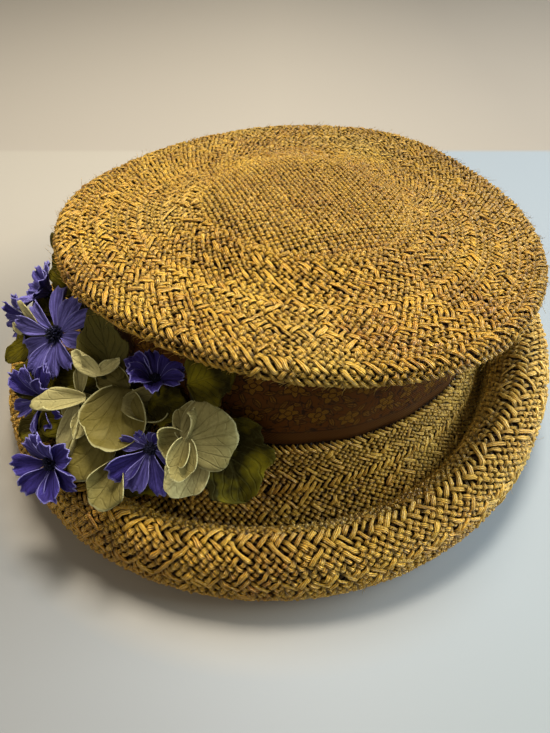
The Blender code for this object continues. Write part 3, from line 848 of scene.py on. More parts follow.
def middle_weave(heap, surface):
    """Square plain weave over the middle of the crown tip."""
    lines = int(MIDDLE_REACH / MIDDLE_SPACING)
    for family in range(2):
        turn = MIDDLE_LEAN + family * math.pi / 2.0
        ahead = np.array([math.cos(turn), math.sin(turn)])
        beside = np.array([-math.sin(turn), math.cos(turn)])
        for line in range(-lines, lines + 1):
            aside = line * MIDDLE_SPACING
            count = int(math.sqrt(max(MIDDLE_REACH ** 2 - aside ** 2, 0.0)) / MIDDLE_SPACING)
            if count < 2:
                continue
            places = np.arange(-count, count + 1)
            level = np.where((places + line + family) % 2 == 0, 1.0, -1.0)
            own_width = rng.standard_normal()
            width, depth, height = strand_sizes(MIDDLE_SPACING, level, own_width, MIDDLE_UNEVENNESS)
            sway = MIDDLE_SWAY * np.interp(places, places[::3], rng.standard_normal(len(places[::3])))
            sway = sway + MIDDLE_PLACE_SPREAD * rng.standard_normal(level.shape)
            spots = ahead * (places[:, None] * MIDDLE_SPACING) + beside * (aside + sway[:, None])
            turns = np.arctan2(spots[:, 1], spots[:, 0]) / (2.0 * np.pi)
            edge = round_values(TIP_EDGE, 0, turns) - TIP_FOLD_RADIUS
            shares = np.hypot(spots[:, 0], spots[:, 1]) / edge
            path, normal = surface.at(turns, shares, height)
            tone = strand_tones(MIDDLE_TONE_SPREAD, 1)
            strand = (path[None], normal[None], width[None], depth[None])
            add_tubes(heap, *strand, STRAND_SIDES, tone, level[None])


TIP_ZONES = (
    # strands, from, to
    (104, 0.435, 0.545),
    (128, 0.53, 0.66),
    (156, 0.645, 0.80),
    (188, 0.785, 0.95),
    (220, 0.935, 1.0 + FOLD_SHARE),
)
TIP_SHEAR = 0.1

# This many of the zones are one piece with the tip's middle.
MIDDLE_ZONES = 2


def plait_crown_tip(straw):
    surface = tip_surface()
    inner, first, second = Heap(), Heap(), Heap()
    middle_weave(inner, surface)

    def patterns(number, count):
        """The weave of each zone, from its inner edge outwards."""
        return (
            ((0, plain), (7, small_basket)),
            ((0, plain), (4, small_basket), (6, plain)),
            ((0, plain), (4, edge_floats), (7, plain)),
            ((0, plain), (3, basket), (6, plain), (11, small_basket), (13, plain)),
            ((0, plain), (4, small_basket), (6, plain), (count - 4, edge_floats)),
        )[number]

    for number, (strands, start, end) in enumerate(TIP_ZONES):
        heaps = ([inner], [inner]) if number < MIDDLE_ZONES else ([first], [second])
        plait(heaps, surface, strands, start, end, lambda count: patterns(number, count), TIP_SHEAR)
    inner.mesh("tip_middle_plait", straw, "straw_tip", "lay")
    first.mesh("tip_outer_plait_forward", straw, "straw_tip", "lay")
    second.mesh("tip_outer_plait_backward", straw, "straw_tip", "lay")
    return surface


BRIM_STRANDS = 232
BRIM_SHEAR = 0.12
HEM_MARGIN = 0.9


def plait_brim(straw):
    surface = brim_surface()
    heaps = ([Heap(), Heap()], [Heap(), Heap()])

    def patterns(count):
        return (
            (0, edge_floats), (2, plain), (8, small_basket), (10, plain), (14, edge_floats), (16, plain),
            (count - 24, small_basket), (count - 22, plain), (count - 14, basket), (count - 11, plain),
            (count - 5, edge_floats),
        )

    plait(heaps, surface, BRIM_STRANDS, 0.0, surface.shares[-1] - HEM_MARGIN, patterns, BRIM_SHEAR)
    for family, side in enumerate(("forward", "backward")):
        for half, heap in enumerate(heaps[family]):
            heap.mesh(f"brim_plait_{side}_{half + 1}", straw, "straw_brim", "lay")
    return surface


def closed_faces(rows, corners):
    """Faces of a grid that closes both ways: its last row meets the first, and each row goes all round."""
    number = np.arange(rows * corners).reshape(rows, corners)
    below = np.roll(number, -1, axis=0)
    ahead = np.roll(number, -1, axis=1)
    both = np.roll(below, -1, axis=1)
    return np.stack([number, below, both, ahead], -1).reshape(-1, 4)


def ground_shell(name, surface, shares, finish, slot):
    """Closed shell just behind the strands, through the given shares of the way out."""
    turns, _angles = full_turn(GROUND_CORNERS)
    grid_turns, grid_shares = np.meshgrid(turns, shares)
    drop = np.full(grid_turns.shape, -GROUND_DROP)
    outer, _normal = surface.at(grid_turns, grid_shares, drop)
    inner, _normal = surface.at(grid_turns, grid_shares, drop - GROUND_THICKNESS)
    rows = np.concatenate([outer, inner[::-1]])
    rows[..., 2] = np.maximum(rows[..., 2], 0.0)
    return add_mesh(name, rows.reshape(-1, 3), [closed_faces(len(rows), GROUND_CORNERS)], finish, slot)


# Ribbon

RIBBON_CORNERS = 360
RIBBON_ROWS = 14
RIBBON_THICKNESS = 0.4
RIBBON_PROUD = 0.75
RIBBON_FOOT_GAP = 0.4
RIBBON_HEAD_GAP = 1.6

# Waves of the ribbon's lower edge and ripples over its width: size in millimetres and number round the hat.
FOOT_WAVE = 0.25
FOOT_WAVES = 7.0
RIPPLE = 0.22
RIPPLES = 23.0


def circle(centre_x, radius, angles):
    return centre_x + radius * np.cos(angles), radius * np.sin(angles)


def ribbon(finish):
    """Brocade ribbon round the crown wall, a little rippled, most along its lower edge."""
    turns, angles = full_turn(RIBBON_CORNERS)
    foot = WALL_FOOT_HEIGHT + RIBBON_FOOT_GAP + FOOT_WAVE * np.sin(angles * FOOT_WAVES + 1.0)
    top_edge = circle(WALL_HEAD_X, WALL_HEAD_RADIUS + RIBBON_PROUD, angles)
    head = WALL_HEAD_HEIGHT + tip_plane(*top_edge) - RIBBON_HEAD_GAP
    rows = []
    for k in range(RIBBON_ROWS):
        share = k / (RIBBON_ROWS - 1)
        ripple = RIPPLE + RIPPLE * np.sin(angles * RIPPLES + 3.0 * share) * (1.0 - share)
        proud = RIBBON_PROUD + ripple * (1.0 - 0.5 * share)
        x_foot, y_foot = circle(WALL_FOOT_X, WALL_FOOT_RADIUS + proud, angles)
        x_top, y_top = circle(WALL_HEAD_X, WALL_HEAD_RADIUS + proud, angles)
        x = x_foot + (x_top - x_foot) * share
        y = y_foot + (y_top - y_foot) * share
        rows.append(np.stack([x, y, foot + (head - foot) * share], -1))
    rows = np.array(rows)
    outward = np.stack([np.cos(angles), np.sin(angles), np.zeros_like(angles)], -1)
    loop = np.concatenate([rows, rows[::-1] - outward * RIBBON_THICKNESS])
    quads = closed_faces(len(loop), RIBBON_CORNERS)[:, [0, 3, 2, 1]]
    notes = np.zeros((len(loop), RIBBON_CORNERS, 3))
    notes[..., 0] = turns[None] * 2.0 * np.pi * WALL_FOOT_RADIUS
    notes[..., 1] = loop[..., 2] - WALL_FOOT_HEIGHT
    notes = ("cloth", notes.reshape(-1, 3))
    piece = add_mesh("brocade_ribbon", loop.reshape(-1, 3), [quads], finish, "brocade", notes)
    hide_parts("brocade_band")


# Flowers and leaves

def facing_frame(facing):
    """Forward, level side and up of a flower that faces a direction."""
    forward = np.array(Vector(facing).normalized())
    side = unit(np.cross((0.0, 0.0, 1.0), forward))
    return forward, side, np.cross(forward, side)


PETAL_SAMPLES = 15
LEAF_SAMPLES = 25
PATH_SAMPLES = 50
PETAL_THICKNESS = 0.3
LEAF_THICKNESS = 0.45


def toothed_petal(s, t, width, own):
    """Half width, reach and ruffle of a petal with a toothed end; s goes across, t along it."""
    half = width / 2.0 * (0.2 + 0.8 * smooth_step(0.0, 0.68, t) - 0.10 * smooth_step(0.85, 1.0, t))
    notch = np.abs(np.sin((s + own.uniform(-0.12, 0.12)) * math.pi * 1.5)) * smooth_step(0.55, 1.0, t)
    reach = t * (1.0 - 0.12 * s ** 2) - 0.10 * notch * t
    edge = 0.10 * width * np.sin(s * own.uniform(3.0, 5.0) + t * 3.0 + own.uniform(0.0, 6.0)) * t ** 2
    edge = edge + 0.035 * width * np.sin(s * own.uniform(7.0, 9.0) + own.uniform(0.0, 6.0)) * t
    return half, reach, edge


def round_petal(s, t, width, own):
    """Half width, reach and ruffle of a broad petal with a shallow notch and a turned rim."""
    rim = np.maximum(np.abs(s), t)
    half = width / 2.0 * (0.08 + 0.92 * np.sin(math.pi * (0.04 + 0.74 * t ** 0.85)) ** 0.65)
    reach = t * (1.0 - 0.30 * t ** 2 * s ** 2 - 0.03 * np.exp(-((s - 0.1) / 0.16) ** 2) * t ** 4)
    edge = 0.055 * width * np.sin(s * own.uniform(2.0, 3.5) + t * 4.0 + own.uniform(0.0, 6.0)) * t
    edge = edge + 0.05 * width * smooth_step(0.82, 1.0, rim) * own.choice([-1.0, 1.0])
    return half, reach, edge


def lobed_leaf(s, t, width, _own):
    """Half width, reach and relief of a lobed leaf with pressed side veins."""
    half = width / 2.0 * (0.04 + 0.96 * np.sin(math.pi * t ** 0.85) ** 0.6)
    half = half * (1.0 + 0.13 * np.sin(t * 15.0 + s) + 0.04 * np.sin(t * 41.0))
    reach = t + 0.03 * np.abs(s) * np.sin(t * 40.0) * (1.0 - t)
    veins = np.cos((np.abs(s) * VEIN_SPREAD - t) * 2.0 * math.pi / VEIN_SPACING) * np.sin(math.pi * t)
    edge = 0.14 * veins + 0.14 * np.abs(s) * half + 0.06 * width * s ** 2 * np.sin(t * 8.0 + s * 1.3)
    return half, reach, edge


def petal_grid(form, seed):
    """Petal or leaf along Y, facing Z: bent along its length, rolled across, ruffled, curled at one side.

    It comes with its flat cut, and with its places across and along and the fan of its veins.
    """
    length, width, bend, rolls, outline, curl = form
    samples = LEAF_SAMPLES if outline is lobed_leaf else PETAL_SAMPLES
    t = np.linspace(0.0, 1.0, samples)[:, None]
    s = np.linspace(-1.0, 1.0, PETAL_SAMPLES)[None]
    half, reach, edge = outline(s, t, width, np.random.default_rng(seed))
    fine = np.linspace(0.0, 1.0, PATH_SAMPLES)
    heading = bend * fine ** 1.5
    path_y = np.concatenate([[0.0], np.cumsum(np.cos(heading[1:]) / (PATH_SAMPLES - 1))])
    path_z = np.concatenate([[0.0], np.cumsum(np.sin(heading[1:]) / (PATH_SAMPLES - 1))])
    roll = rolls[0] + (rolls[1] - rolls[0]) * t + 0.01
    x = half / (roll / 2.0) * np.sin(s * roll / 2.0)
    rise = half / (roll / 2.0) * (1.0 - np.cos(s * roll / 2.0)) + edge
    lip = np.maximum(s * np.sign(curl) - 0.35, 0.0) ** 2 * abs(curl) * t
    rise = rise + lip * width
    x = x - np.sign(curl) * lip * width * 0.8
    turn = np.interp(reach, fine, heading)
    y = np.interp(reach, fine, path_y) * length - rise * np.sin(turn)
    z = np.interp(reach, fine, path_z) * length + rise * np.cos(turn)
    fan = np.arctan2(s * half, reach * length + 0.12 * length)
    flat = np.broadcast_arrays(s * half, reach * length)
    return np.stack(np.broadcast_arrays(x, y, z), -1), flat, np.broadcast_arrays(s, t, fan)


def flat_area(across, along):
    """Area of a flat cut from its grid of places."""
    one = (across[1:, 1:] - across[:-1, :-1]) * (along[1:, :-1] - along[:-1, 1:])
    other = (along[1:, 1:] - along[:-1, :-1]) * (across[1:, :-1] - across[:-1, 1:])
    return 0.5 * np.abs(one - other).sum()


def declare_sheet(heap):
    """Work out the width, length and area of the flat cloth that the petals or leaf of a piece were cut from,
    side by side in one strip; the sums are not used.
    """
    width = sum(cut[0] for cut in heap.cuts)
    length = max(cut[1] for cut in heap.cuts)
    area = sum(cut[2] for cut in heap.cuts)


def add_petal(heap, base, way, face, form, seed, tone, thickness):
    """Petal or leaf from its base along a way, facing a direction."""
    way = unit(np.array(way))
    across = unit(np.cross(way, face))
    face = np.cross(across, way)
    grid, flat, (s, t, fan) = petal_grid(form, seed)
    heap.cuts.append((np.ptp(flat[0]), np.ptp(flat[1]), flat_area(*flat)))
    points = np.array(base) + grid[..., :1] * across + grid[..., 1:2] * way + grid[..., 2:] * face
    add_sheet(heap, points, thickness, np.stack([s, t, np.full(s.shape, tone), fan], -1))


BLUE_FLOWERS = (
    # node, hub, facing, turn in degrees, petals, reach, lift in degrees, bend, width to length, tone, sag
    # tone lightens or darkens a whole flower, partly painted light and shade: lighter on blue_flower_1 where
    # the light falls strongly, darkest on blue_flower_4 in the shade under the tip's edge
    ("blue_flower_1", (-86.7, -52.8, 69.2), (-0.35, -0.6, 0.72), 4, 10, 19.5, 16, -0.6, 0.43, 0.70, 0.0),
    ("blue_flower_2", (-94.8, -30.4, 72.9), (-0.7, -0.15, 0.7), 10, 9, 14.5, 46, -0.5, 0.62, 0.55, 0.0),
    ("blue_flower_3", (-105.5, -36.5, 64.1), (-0.75, -0.6, 0.3), 5, 9, 12.0, 30, -0.3, 0.6, 0.15, 0.0),
    ("blue_flower_4", (-42.0, -82.6, 74.4), (0.03, 0.0, 1.0), 14, 8, 12.0, 54, -1.0, 0.6, -1.0, 0.0),
    ("blue_flower_5", (-43.9, -99.0, 56.2), (-0.08, -0.78, 0.60), 14, 9, 12.0, 20, -0.35, 0.58, 0.0, 0.7),
    ("blue_flower_6", (-83.4, -97.0, 44.0), (-0.45, -0.72, 0.48), 3, 9, 15.5, 32, -0.4, 0.62, -0.15, 0.1),
    ("blue_flower_7", (-93.4, -69.5, 48.8), (-0.58, -0.65, 0.48), 15, 10, 16.5, 28, -0.5, 0.50, 0.0, 0.0),
)


STEM_SAMPLES = 9
STEM_SIDES = 6
FLOWER_STEM_THICKNESS = 1.5
PETAL_STALK_THICKNESS = 1.1
LEAF_STALK_THICKNESS = 1.3


def curved_stem(heap, start, back, end, thick):
    """Thin stem from a point, leaving it backwards, to another."""
    share = np.linspace(0.0, 1.0, STEM_SAMPLES)[:, None]
    path = start * (1 - share) ** 2 + 2.0 * back * share * (1 - share) + end * share ** 2
    size = np.full((1, STEM_SAMPLES), thick)
    side = np.broadcast_to(unit(np.cross(end - start, (0.3, 0.2, 1.0))), (1, STEM_SAMPLES, 3))
    add_tubes(heap, path[None], side, size, size, STEM_SIDES, np.zeros(1))


# Eye of a blue flower: threads laid out by the golden angle, each with a bead near its end.
EYE_RADIUS = 1.6
EYE_THREADS = 70
GOLDEN_ANGLE = 2.39996
THREAD_PLACES = (0.1, 0.7, 0.85, 1.0)
THREAD_WIDTHS = (0.35, 0.6, 1.0, 0.5)
THREAD_SIDES = 5


# How one petal of a blue flower differs from the next, in parts of a step, radians and shares.
ASIDE_VARIES = 0.16
LIFT_VARIES = 0.22
TWIST_VARIES = 0.35
LENGTH_VARIES = (0.82, 1.05)
WIDTH_VARIES = (0.85, 1.15)
TIP_ROLL_VARIES = (0.5, 1.3)
TONE_VARIES = (-0.22, 0.45)
CURL_VARIES = 0.3
BASE_ROLL = 1.9


def blue_flower(number, row, petals_finish, eye_finish, stem_finish):
    """Cornflower: separate toothed petals round a beaded blue-black eye, with a stem behind."""
    node, hub, facing, turn, petals, reach, lift, bend, ratio, tone, sag = row
    forward, side, up = facing_frame(facing)
    hub = np.array(hub)
    heap = Heap()
    for k in range(petals):
        own = np.random.default_rng(number * 100 + k)
        step = k + own.uniform(-ASIDE_VARIES, ASIDE_VARIES)
        angle = math.radians(turn) + 2.0 * math.pi * step / petals
        out = math.cos(angle) * side + math.sin(angle) * up
        rise = math.radians(lift) + own.uniform(-LIFT_VARIES, LIFT_VARIES)
        way = math.cos(rise) * out + math.sin(rise) * forward
        face = math.cos(rise) * forward - math.sin(rise) * out
        face = unit(face + own.uniform(-TWIST_VARIES, TWIST_VARIES) * np.cross(way, face))
        length = reach * own.uniform(*LENGTH_VARIES) * (1.0 - sag * out[2])
        width = length * ratio * own.uniform(*WIDTH_VARIES)
        rolls = (BASE_ROLL, own.uniform(*TIP_ROLL_VARIES))
        shade = tone + own.uniform(*TONE_VARIES)
        form = (length, width, bend, rolls, toothed_petal, own.uniform(-CURL_VARIES, CURL_VARIES))
        base = hub + out * EYE_RADIUS
        add_petal(heap, base, way, face, form, number * 100 + k, shade, PETAL_THICKNESS)
    flower = heap.mesh(f"{node}_petals", petals_finish, "blue_cloth", "cloth")
    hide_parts(node)
    eye = Heap()
    own = np.random.default_rng(number)
    thread = np.arange(EYE_THREADS)
    angle = thread * GOLDEN_ANGLE + own.uniform(-0.3, 0.3, EYE_THREADS)
    lean = np.sqrt((thread + 0.5) / EYE_THREADS) * 1.35
    out = np.cos(angle)[:, None] * side + np.sin(angle)[:, None] * up
    way = unit(forward * np.cos(lean)[:, None] + out * np.sin(lean)[:, None])
    length = reach * own.uniform(0.17, 0.25, EYE_THREADS)
    paths = hub + way[:, None] * length[:, None, None] * np.array(THREAD_PLACES)[None, :, None]
    normals = np.broadcast_to(side + 0.2 * up, paths.shape)
    thick = np.array(THREAD_WIDTHS)[None] * np.ones((EYE_THREADS, 1))
    tones = own.uniform(0.0, 1.0, EYE_THREADS)
    add_tubes(eye, paths, normals, thick, thick, THREAD_SIDES, tones)
    eye.mesh(f"{node}_eye", eye_finish, "blue_cloth", "cloth")
    stem = Heap()
    start = hub - forward * 0.3
    curved_stem(stem, start, hub - forward * 7.0, stem_seat(hub), FLOWER_STEM_THICKNESS)
    seat = stem.mesh(f"{node}_stem", stem_finish, "blue_cloth", "cloth")
    declare_sheet(heap)


PALE_FLOWERS = (
    # node, petals as (base, tip, facing, width, bend, roll at base, roll at tip, curl of one side, tone)
    ("pale_flower_1", (
        ((-69.0, -84.6, 60.6), (-72.4, -93.6, 53.6), (-0.25, -0.65, 0.7), 8.5, 0.3, 1.4, 0.9, 0.4, 0.5),
        ((-64.1, -76.7, 71.0), (-73.7, -69.7, 76.5), (0.05, -0.55, 0.83), 8.5, 0.6, 1.8, 1.2, 0.8, 1.0),
        ((-65.2, -76.4, 71.2), (-54.8, -73.0, 74.6), (-0.1, -0.35, 0.93), 7.0, 0.5, 2.0, 1.6, -0.9, 0.95),
        ((-54.4, -78.0, 64.1), (-66.4, -70.1, 69.0), (0.0, -0.6, 0.8), 13.0, 0.2, 1.5, 1.0, 0.4, 0.05),
        ((-55.1, -79.5, 66.9), (-59.9, -100.1, 53.6), (-0.12, -0.62, 0.78), 26.0, 0.3, 0.8, 0.3, 0.12, 0.04),
        ((-55.0, -85.7, 65.0), (-35.1, -84.5, 59.1), (0.1, -0.55, 0.83), 19.0, -0.5, 2.6, 0.6, 0.9, 0.22),
    )),
    ("pale_flower_2", (
        ((-59.6, -89.5, 57.0), (-74.0, -104.1, 44.1), (-0.3, -0.62, 0.72), 20.0, 0.25, 1.0, 0.4, 0.25, 0.04),
        ((-55.0, -99.8, 51.2), (-62.9, -115.4, 41.5), (-0.15, -0.75, 0.62), 18.5, 0.3, 4.6, 0.7, 0.3, 0.12),
        ((-62.8, -95.2, 48.6), (-53.1, -101.2, 44.2), (0.2, -0.6, 0.75), 13.0, 0.1, 1.2, 0.8, 0.2, 0.0),
    )),
    ("pale_flower_3", (
        ((-30.9, -102.4, 64.0), (-12.2, -98.5, 67.8), (0.04, -0.72, 0.69), 27.0, 0.25, 0.7, 0.3, 0.12, 0.30),
        ((-29.3, -100.4, 64.6), (-38.2, -104.2, 59.4), (-0.5, -0.68, 0.5), 18.0, 0.2, 2.0, 0.9, 0.5, 0.16),
        ((-30.7, -101.1, 63.9), (-26.5, -90.1, 71.8), (-0.55, -0.6, 0.55), 12.0, 0.3, 2.2, 1.2, 0.5, 0.28),
        ((-29.3, -101.8, 66.0), (-32.9, -113.4, 56.0), (0.0, -0.72, 0.69), 11.5, 0.3, 1.2, 0.5, 0.3, 0.2),
        ((-24.5, -102.6, 58.2), (-36.6, -113.7, 48.8), (0.05, -0.66, 0.75), 16.5, 0.2, 0.8, 0.4, 0.2, 0.7),
    )),
    ("pale_flower_4", (
        ((-69.2, -82.1, 64.3), (-90.5, -82.7, 60.9), (-0.05, -0.5, 0.86), 11.5, 0.15, 2.8, 0.4, -0.7, 0.72),
        ((-72.9, -82.7, 61.2), (-76.8, -100.0, 43.4), (-0.42, -0.62, 0.64), 11.5, 0.2, 1.6, 1.0, -0.5, 0.62),
        ((-66.5, -81.7, 60.4), (-81.9, -83.0, 57.8), (-0.2, -0.6, 0.75), 14.0, -0.4, 1.4, 0.8, 0.3, 0.12),
        ((-72.5, -79.1, 63.1), (-70.6, -70.6, 72.7), (0.15, -0.72, 0.68), 6.5, 0.3, 3.4, 1.4, 0.2, 0.65),
        ((-94.8, -49.2, 71.3), (-101.6, -41.7, 78.6), (-0.5, -0.5, 0.6), 5.0, 0.4, 2.4, 1.4, 0.4, 0.9),
        ((-102.1, -50.3, 67.4), (-105.4, -46.8, 70.8), (-0.5, -0.5, 0.6), 4.0, 0.4, 1.4, 0.8, 0.4, 0.9),
    )),
)


def pale_flower(number, row, petals_finish, stalk_finish):
    """Hydrangea floret: broad, rolled and curled petals, each on its own short stalk."""
    node, petals = row
    heap, stalks = Heap(), Heap()
    for k, (base, tip, facing, width, bend, roll, open_roll, curl, tone) in enumerate(petals):
        base, tip, facing = np.array(base), np.array(tip), np.array(facing)
        length = np.linalg.norm(tip - base)
        form = (length, width, bend, (roll, open_roll), round_petal, curl)
        add_petal(heap, base, tip - base, facing, form, number * 50 + k, tone, PETAL_THICKNESS)
        start = base + (tip - base) * 0.03
        curved_stem(stalks, start, base - facing * 4.0, stem_seat(base), PETAL_STALK_THICKNESS)
    flower = heap.mesh(f"{node}_petals", petals_finish, "pale_cloth", "cloth")
    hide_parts(node)
    seat = stalks.mesh(f"{node}_stalks", stalk_finish, "pale_cloth", "cloth")
    declare_sheet(heap)


LEAVES = (
    # base, tip, facing, width, bend, roll at base, roll at tip, tone
    ((-20.2, -91.8, 64.5), (-10.5, -109.4, 38.9), (0.08, -0.75, 0.65), 31.0, 0.3, 0.6, 0.5, 0.5),
    ((-29.0, -88.6, 79.0), (-11.5, -87.4, 85.7), (0.0, -0.75, 0.66), 19.0, 0.2, 0.8, 0.6, 0.5),
    ((-60.6, -74.3, 63.5), (-64.7, -56.2, 88.3), (-0.05, -0.7, 0.71), 19.0, 0.3, 1.5, 1.0, 0.95),
    ((-90.0, -6.7, 60.7), (-99.0, 4.0, 82.0), (-0.88, -0.21, -0.27), 14.0, 0.2, 0.7, 0.5, 0.5),
    ((-47.1, -83.5, 53.1), (-72.7, -91.7, 43.7), (0.0, -0.65, 0.76), 24.0, 0.2, 0.5, 0.4, 0.5),
    ((-60.2, -76.6, 55.6), (-91.5, -80.1, 43.8), (-0.3, -0.65, 0.7), 22.0, 0.2, 0.5, 0.4, 0.5),
    ((-66.9, -69.8, 60.5), (-86.5, -60.8, 57.0), (-0.3, -0.6, 0.74), 17.0, 0.2, 0.5, 0.4, 0.5),
    ((-39.0, -94.8, 50.5), (-56.4, -105.9, 38.1), (0.0, -0.7, 0.71), 19.0, 0.2, 0.5, 0.4, 0.5),
    ((-45.2, -83.3, 64.5), (-30.0, -88.4, 63.7), (0.0, -0.7, 0.71), 15.0, 0.2, 0.5, 0.4, 0.5),
    ((-95.7, -44.7, 64.5), (-112.8, -50.0, 50.9), (-0.6, -0.6, 0.5), 12.0, 0.2, 0.5, 0.4, 0.5),
    ((-80.0, -56.5, 57.5), (-105.5, -65.0, 48.5), (-0.45, -0.55, 0.7), 24.0, 0.2, 0.5, 0.4, 0.5),
    ((-84.0, -72.0, 46.0), (-101.0, -82.0, 39.5), (-0.45, -0.55, 0.7), 16.0, 0.2, 0.5, 0.4, 0.5),
    ((-88.0, -38.0, 62.0), (-105.0, -22.0, 63.0), (-0.6, -0.4, 0.7), 20.0, 0.2, 0.5, 0.4, 0.5),
    ((-85.6, -33.5, 72.7), (-91.8, -16.3, 84.0), (-0.3, -0.7, 0.64), 12.0, 0.2, 0.7, 0.5, 0.5),
)

# The first leaves of the table, this many, each replace a node.
NODE_LEAVES = 4

STEM_BUNDLE_RADIUS = 3.0
STEM_BUNDLE_HEIGHT = 57.0
STEM_BUNDLE_FROM = 176.0
STEM_BUNDLE_TO = 263.0
BUNDLE_PROUD = STEM_BUNDLE_RADIUS + 1.0 + 4.0 * GAP

# Wires of the bundle: number, thickness, distance from the bundle's middle, and turns of their twist.
WIRES = 5
WIRE_THICKNESS = 2.1
WIRE_OFFSET = 1.75
WIRE_TWIST = 14.0
WIRE_SAMPLES = 90
WIRE_SIDES = 7


def bundle_centre(angle):
    """Centre line of the bound stems, against the ribbon."""
    lean = (STEM_BUNDLE_HEIGHT - WALL_FOOT_HEIGHT) / (WALL_HEAD_HEIGHT - WALL_FOOT_HEIGHT)
    x = WALL_FOOT_X + lean * (WALL_HEAD_X - WALL_FOOT_X)
    reach = WALL_FOOT_RADIUS + lean * (WALL_HEAD_RADIUS - WALL_FOOT_RADIUS) + BUNDLE_PROUD
    height = np.full_like(angle, STEM_BUNDLE_HEIGHT)
    return np.stack([x + reach * np.cos(angle), reach * np.sin(angle), height], -1)


# How far from the bundle's ends, in degrees, and how deep in it, stems meet the bound stems.
SEAT_MARGIN = 2.0
SEAT_DEPTH = 0.6


def stem_seat(point):
    """Where a stem from a point meets the bound stems."""
    angle = np.arctan2(point[1], point[0] - WALL_FOOT_X)
    angle = angle % (2.0 * np.pi)
    low = math.radians(STEM_BUNDLE_FROM + SEAT_MARGIN)
    high = math.radians(STEM_BUNDLE_TO - SEAT_MARGIN)
    centre = bundle_centre(np.clip(angle, low, high))
    way = unit(point - centre)
    return centre + way * (STEM_BUNDLE_RADIUS - SEAT_DEPTH)


def bound_stems(finish):
    """Cloth-covered wires twisted into one rope against the ribbon."""
    heap = Heap()
    angle = np.radians(np.linspace(STEM_BUNDLE_FROM, STEM_BUNDLE_TO, WIRE_SAMPLES))
    centre = bundle_centre(angle)
    out = np.stack([np.cos(angle), np.sin(angle), np.zeros(WIRE_SAMPLES)], -1)
    up = np.array([0.0, 0.0, 1.0])
    paths = []
    for k in range(WIRES):
        phase = 2.0 * math.pi * k / WIRES + angle * WIRE_TWIST
        paths.append(centre + WIRE_OFFSET * (np.cos(phase)[:, None] * out + np.sin(phase)[:, None] * up))
    paths = np.array(paths)
    thick = np.full(paths.shape[:2], WIRE_THICKNESS)
    normals = np.broadcast_to(out, paths.shape)
    add_tubes(heap, paths, normals, thick, thick, WIRE_SIDES, rng.uniform(0, 1, WIRES))
    piece = heap.mesh("bound_flower_stems", finish, "stem", "cloth")
    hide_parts("flower_stems")


def velvet_leaf(number, row, finish, stalk_finish):
    """Lobed velvet leaf with a folded midrib and pressed side veins, on a stalk."""
    base, tip, facing, width, bend, roll, open_roll, tone = row
    base, tip, facing = np.array(base), np.array(tip), np.array(facing)
    heap, stalk = Heap(), Heap()
    form = (np.linalg.norm(tip - base), width, bend, (roll, open_roll), lobed_leaf, 0.1)
    add_petal(heap, base, tip - base, facing, form, number, tone, LEAF_THICKNESS)
    piece = heap.mesh(f"velvet_leaf_{number}_cloth", finish, "velvet", "cloth")
    if number <= NODE_LEAVES:
        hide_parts(f"velvet_leaf_{number}")
    start = base + (tip - base) * 0.02
    curved_stem(stalk, start, base - facing * 3.0, stem_seat(base), LEAF_STALK_THICKNESS)
    seat = stalk.mesh(f"velvet_leaf_{number}_stalk", stalk_finish, "velvet", "cloth")
    declare_sheet(heap)


# Stray fibres

# Number of hairs, and from and to in shares of the tip or millimetres along the brim.
TIP_EDGE_HAIRS = (2000, 0.99, 1.09)
HEM_HAIRS = (900, 96.0, 112.0)
ROLL_HAIRS = (600, 45.0, 96.0)
TIP_TOP_HAIRS = (600, 0.15, 0.98)
HAIR_THICKNESS = 0.22
HAIR_LENGTHS = (1.2, 4.6)
HAIR_CURL = 2.6
HAIR_RISE = (0.1, 0.6)
HAIR_ROOT = 0.6
HAIR_FLOOR = 0.3
HAIR_SAMPLES = 5
HAIR_SIDES = 3


def stray_fibres(tip, brim, finish):
    """Fine loose hairs of straw on the tip and the brim, most of them along the tip's edge."""
    heap = Heap()
    places = ((tip, *TIP_EDGE_HAIRS), (brim, *HEM_HAIRS), (brim, *ROLL_HAIRS), (tip, *TIP_TOP_HAIRS))
    for surface, count, low, high in places:
        turns = rng.uniform(0.0, 1.0, count)
        shares = rng.uniform(low, high, count)
        root, normal = surface.at(turns, shares, np.full(count, HAIR_ROOT))
        drift = rng.uniform(-0.5, 0.5, count) * (high - low) * 0.08
        ahead, _normal = surface.at(turns + 0.004, shares + drift, np.zeros(count))
        lean = unit(ahead - root) * rng.choice([-1.0, 1.0], (count, 1))
        aside = unit(np.cross(lean, normal))
        share = np.linspace(0.0, 1.0, HAIR_SAMPLES)[None, :, None]
        size = rng.uniform(*HAIR_LENGTHS, (count, 1, 1))
        curl = rng.uniform(-HAIR_CURL, HAIR_CURL, (count, 1, 1))
        rise = rng.uniform(*HAIR_RISE, (count, 1, 1))
        paths = root[:, None] + lean[:, None] * size * np.sin(share * 1.6)
        paths = paths + normal[:, None] * size * rise * share
        paths = paths + aside[:, None] * size * 0.35 * curl * share ** 2
        paths[..., 2] = np.maximum(paths[..., 2], HAIR_FLOOR)
        thick = np.full(paths.shape[:2], HAIR_THICKNESS) * (1.1 - np.linspace(0.0, 0.7, HAIR_SAMPLES))
        normals = np.broadcast_to(normal[:, None], paths.shape)
        add_tubes(heap, paths, normals, thick, thick, HAIR_SIDES, rng.uniform(0.9, 1.4, count))
    heap.mesh("stray_straw_fibres", finish, "straw_brim", "lay")


# Room

FLOOR_SIZE = 6.0
WALL_FROM = 0.266
WALL_TO = 0.272


